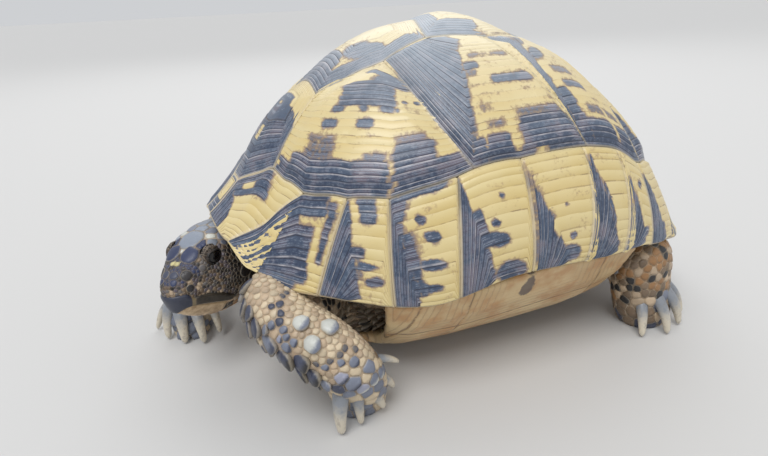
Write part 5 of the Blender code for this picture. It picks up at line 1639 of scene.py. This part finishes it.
def dressAnimal():
    skin = buildSkin()
    pieces = [(skin, skinLook(), "scaly_skin", ["trunk", "neck", "head", "tail"])]
    for name in tubes:
        if name != "tail":
            pieces[0][3].extend([name + "_upper", name + "_lower"])
    scales = coatLook()
    for piece in buildCoat(skin):
        pieces.append((piece, scales, "scaly_skin", []))
    ball, lid, horn, claw = eyeLook(), lidLook(), beakLook(), clawLook()
    for label, side in (("left", -1), ("right", 1)):
        pieces.append((buildEye("eyeball_" + label, side), ball, "eye", ["eye_" + label]))
        pieces.append((buildLids("lids_" + label, side), lid, "scaly_skin", []))
    upper, lower = buildBeak(Body(skin))
    pieces += [(upper, horn, "claw_horn", []), (lower, jawLook(), "claw_horn", ["lower_jaw"])]
    for name, claws in clawPlaces.items():
        pieces.append((buildClaws(name + "_claws", claws), claw, "claw_horn", []))
    for piece, look, slot, nodes in pieces:
        piece.data.materials.clear()
        piece.data.materials.append(look)
        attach(piece, "root")
        if nodes:
            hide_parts(*nodes)

studio = {
    "floorColour": (0.60, 0.595, 0.585), "key": 1.6, "keyAngle": 0.6, "fill": 1.0, "back": 4.0, "sky": 0.65,
    "cameraSpot": (-104.99, -192.9, 121.1), "forward": (0.337, 0.865, -0.371), "up": (0.182, 0.327, 0.927),
    "lens": 26.25, "sensor": 36.0,
}


def buildStage():
    bpy.ops.mesh.primitive_plane_add(size=60, location=(0, 0, 0))
    floor = bpy.context.object
    floor.name = "floor"
    look = Look("floorPaint")
    floor.data.materials.append(look.finish(studio["floorColour"], 0.8))
    bpy.ops.object.light_add(type="SUN", location=(-0.4, -0.5, 1.1))
    sun = bpy.context.object
    sun.name, sun.data.energy, sun.data.angle = "key", studio["key"], studio["keyAngle"]
    sun.rotation_euler = (-sun.location).to_track_quat("-Z", "Y").to_euler()
    for name, spot, size in (("fill", (0.9, -0.8, 0.7), 1.0), ("back", (0.25, 0.75, 1.0), 1.2)):
        bpy.ops.object.light_add(type="AREA", location=spot)
        lamp = bpy.context.object
        lamp.name, lamp.data.size, lamp.data.energy = name, size, studio[name]
        lamp.rotation_euler = (Vector((0, 0, 0.04)) - Vector(spot)).to_track_quat("-Z", "Y").to_euler()
    world = bpy.data.worlds.new("studio")
    bpy.context.scene.world = world
    world.use_nodes = True
    world.node_tree.nodes["Background"].inputs["Color"].default_value = (0.95, 0.97, 1.0, 1.0)
    world.node_tree.nodes["Background"].inputs["Strength"].default_value = studio["sky"]
    bpy.context.scene.view_settings.view_transform = "Standard"


def buildCamera():
    bpy.ops.object.camera_add(location=toWorld(studio["cameraSpot"]))
    camera = bpy.context.object
    forward, up = Vector(studio["forward"]).normalized(), Vector(studio["up"])
    right = forward.cross(up).normalized()
    up = right.cross(forward)
    camera.rotation_euler = Matrix((right, up, -forward)).transposed().to_euler()
    camera.data.lens, camera.data.sensor_width = studio["lens"], studio["sensor"]
    camera.data.clip_start = 0.005
    bpy.context.scene.camera = camera

print("carapace")
shellHorn = carapaceLook()
for node, scute in buildCarapace():
    scute.data.materials.append(shellHorn)
    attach(scute, "root")
    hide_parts(node)

belly = buildPlastron()
belly.data.materials.clear()
belly.data.materials.append(plastronLook())
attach(belly, "root")
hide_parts("plastron")

print("skin and scales")
dressAnimal()

print("studio")
buildStage()
buildCamera()
bpy.context.view_layer.update()
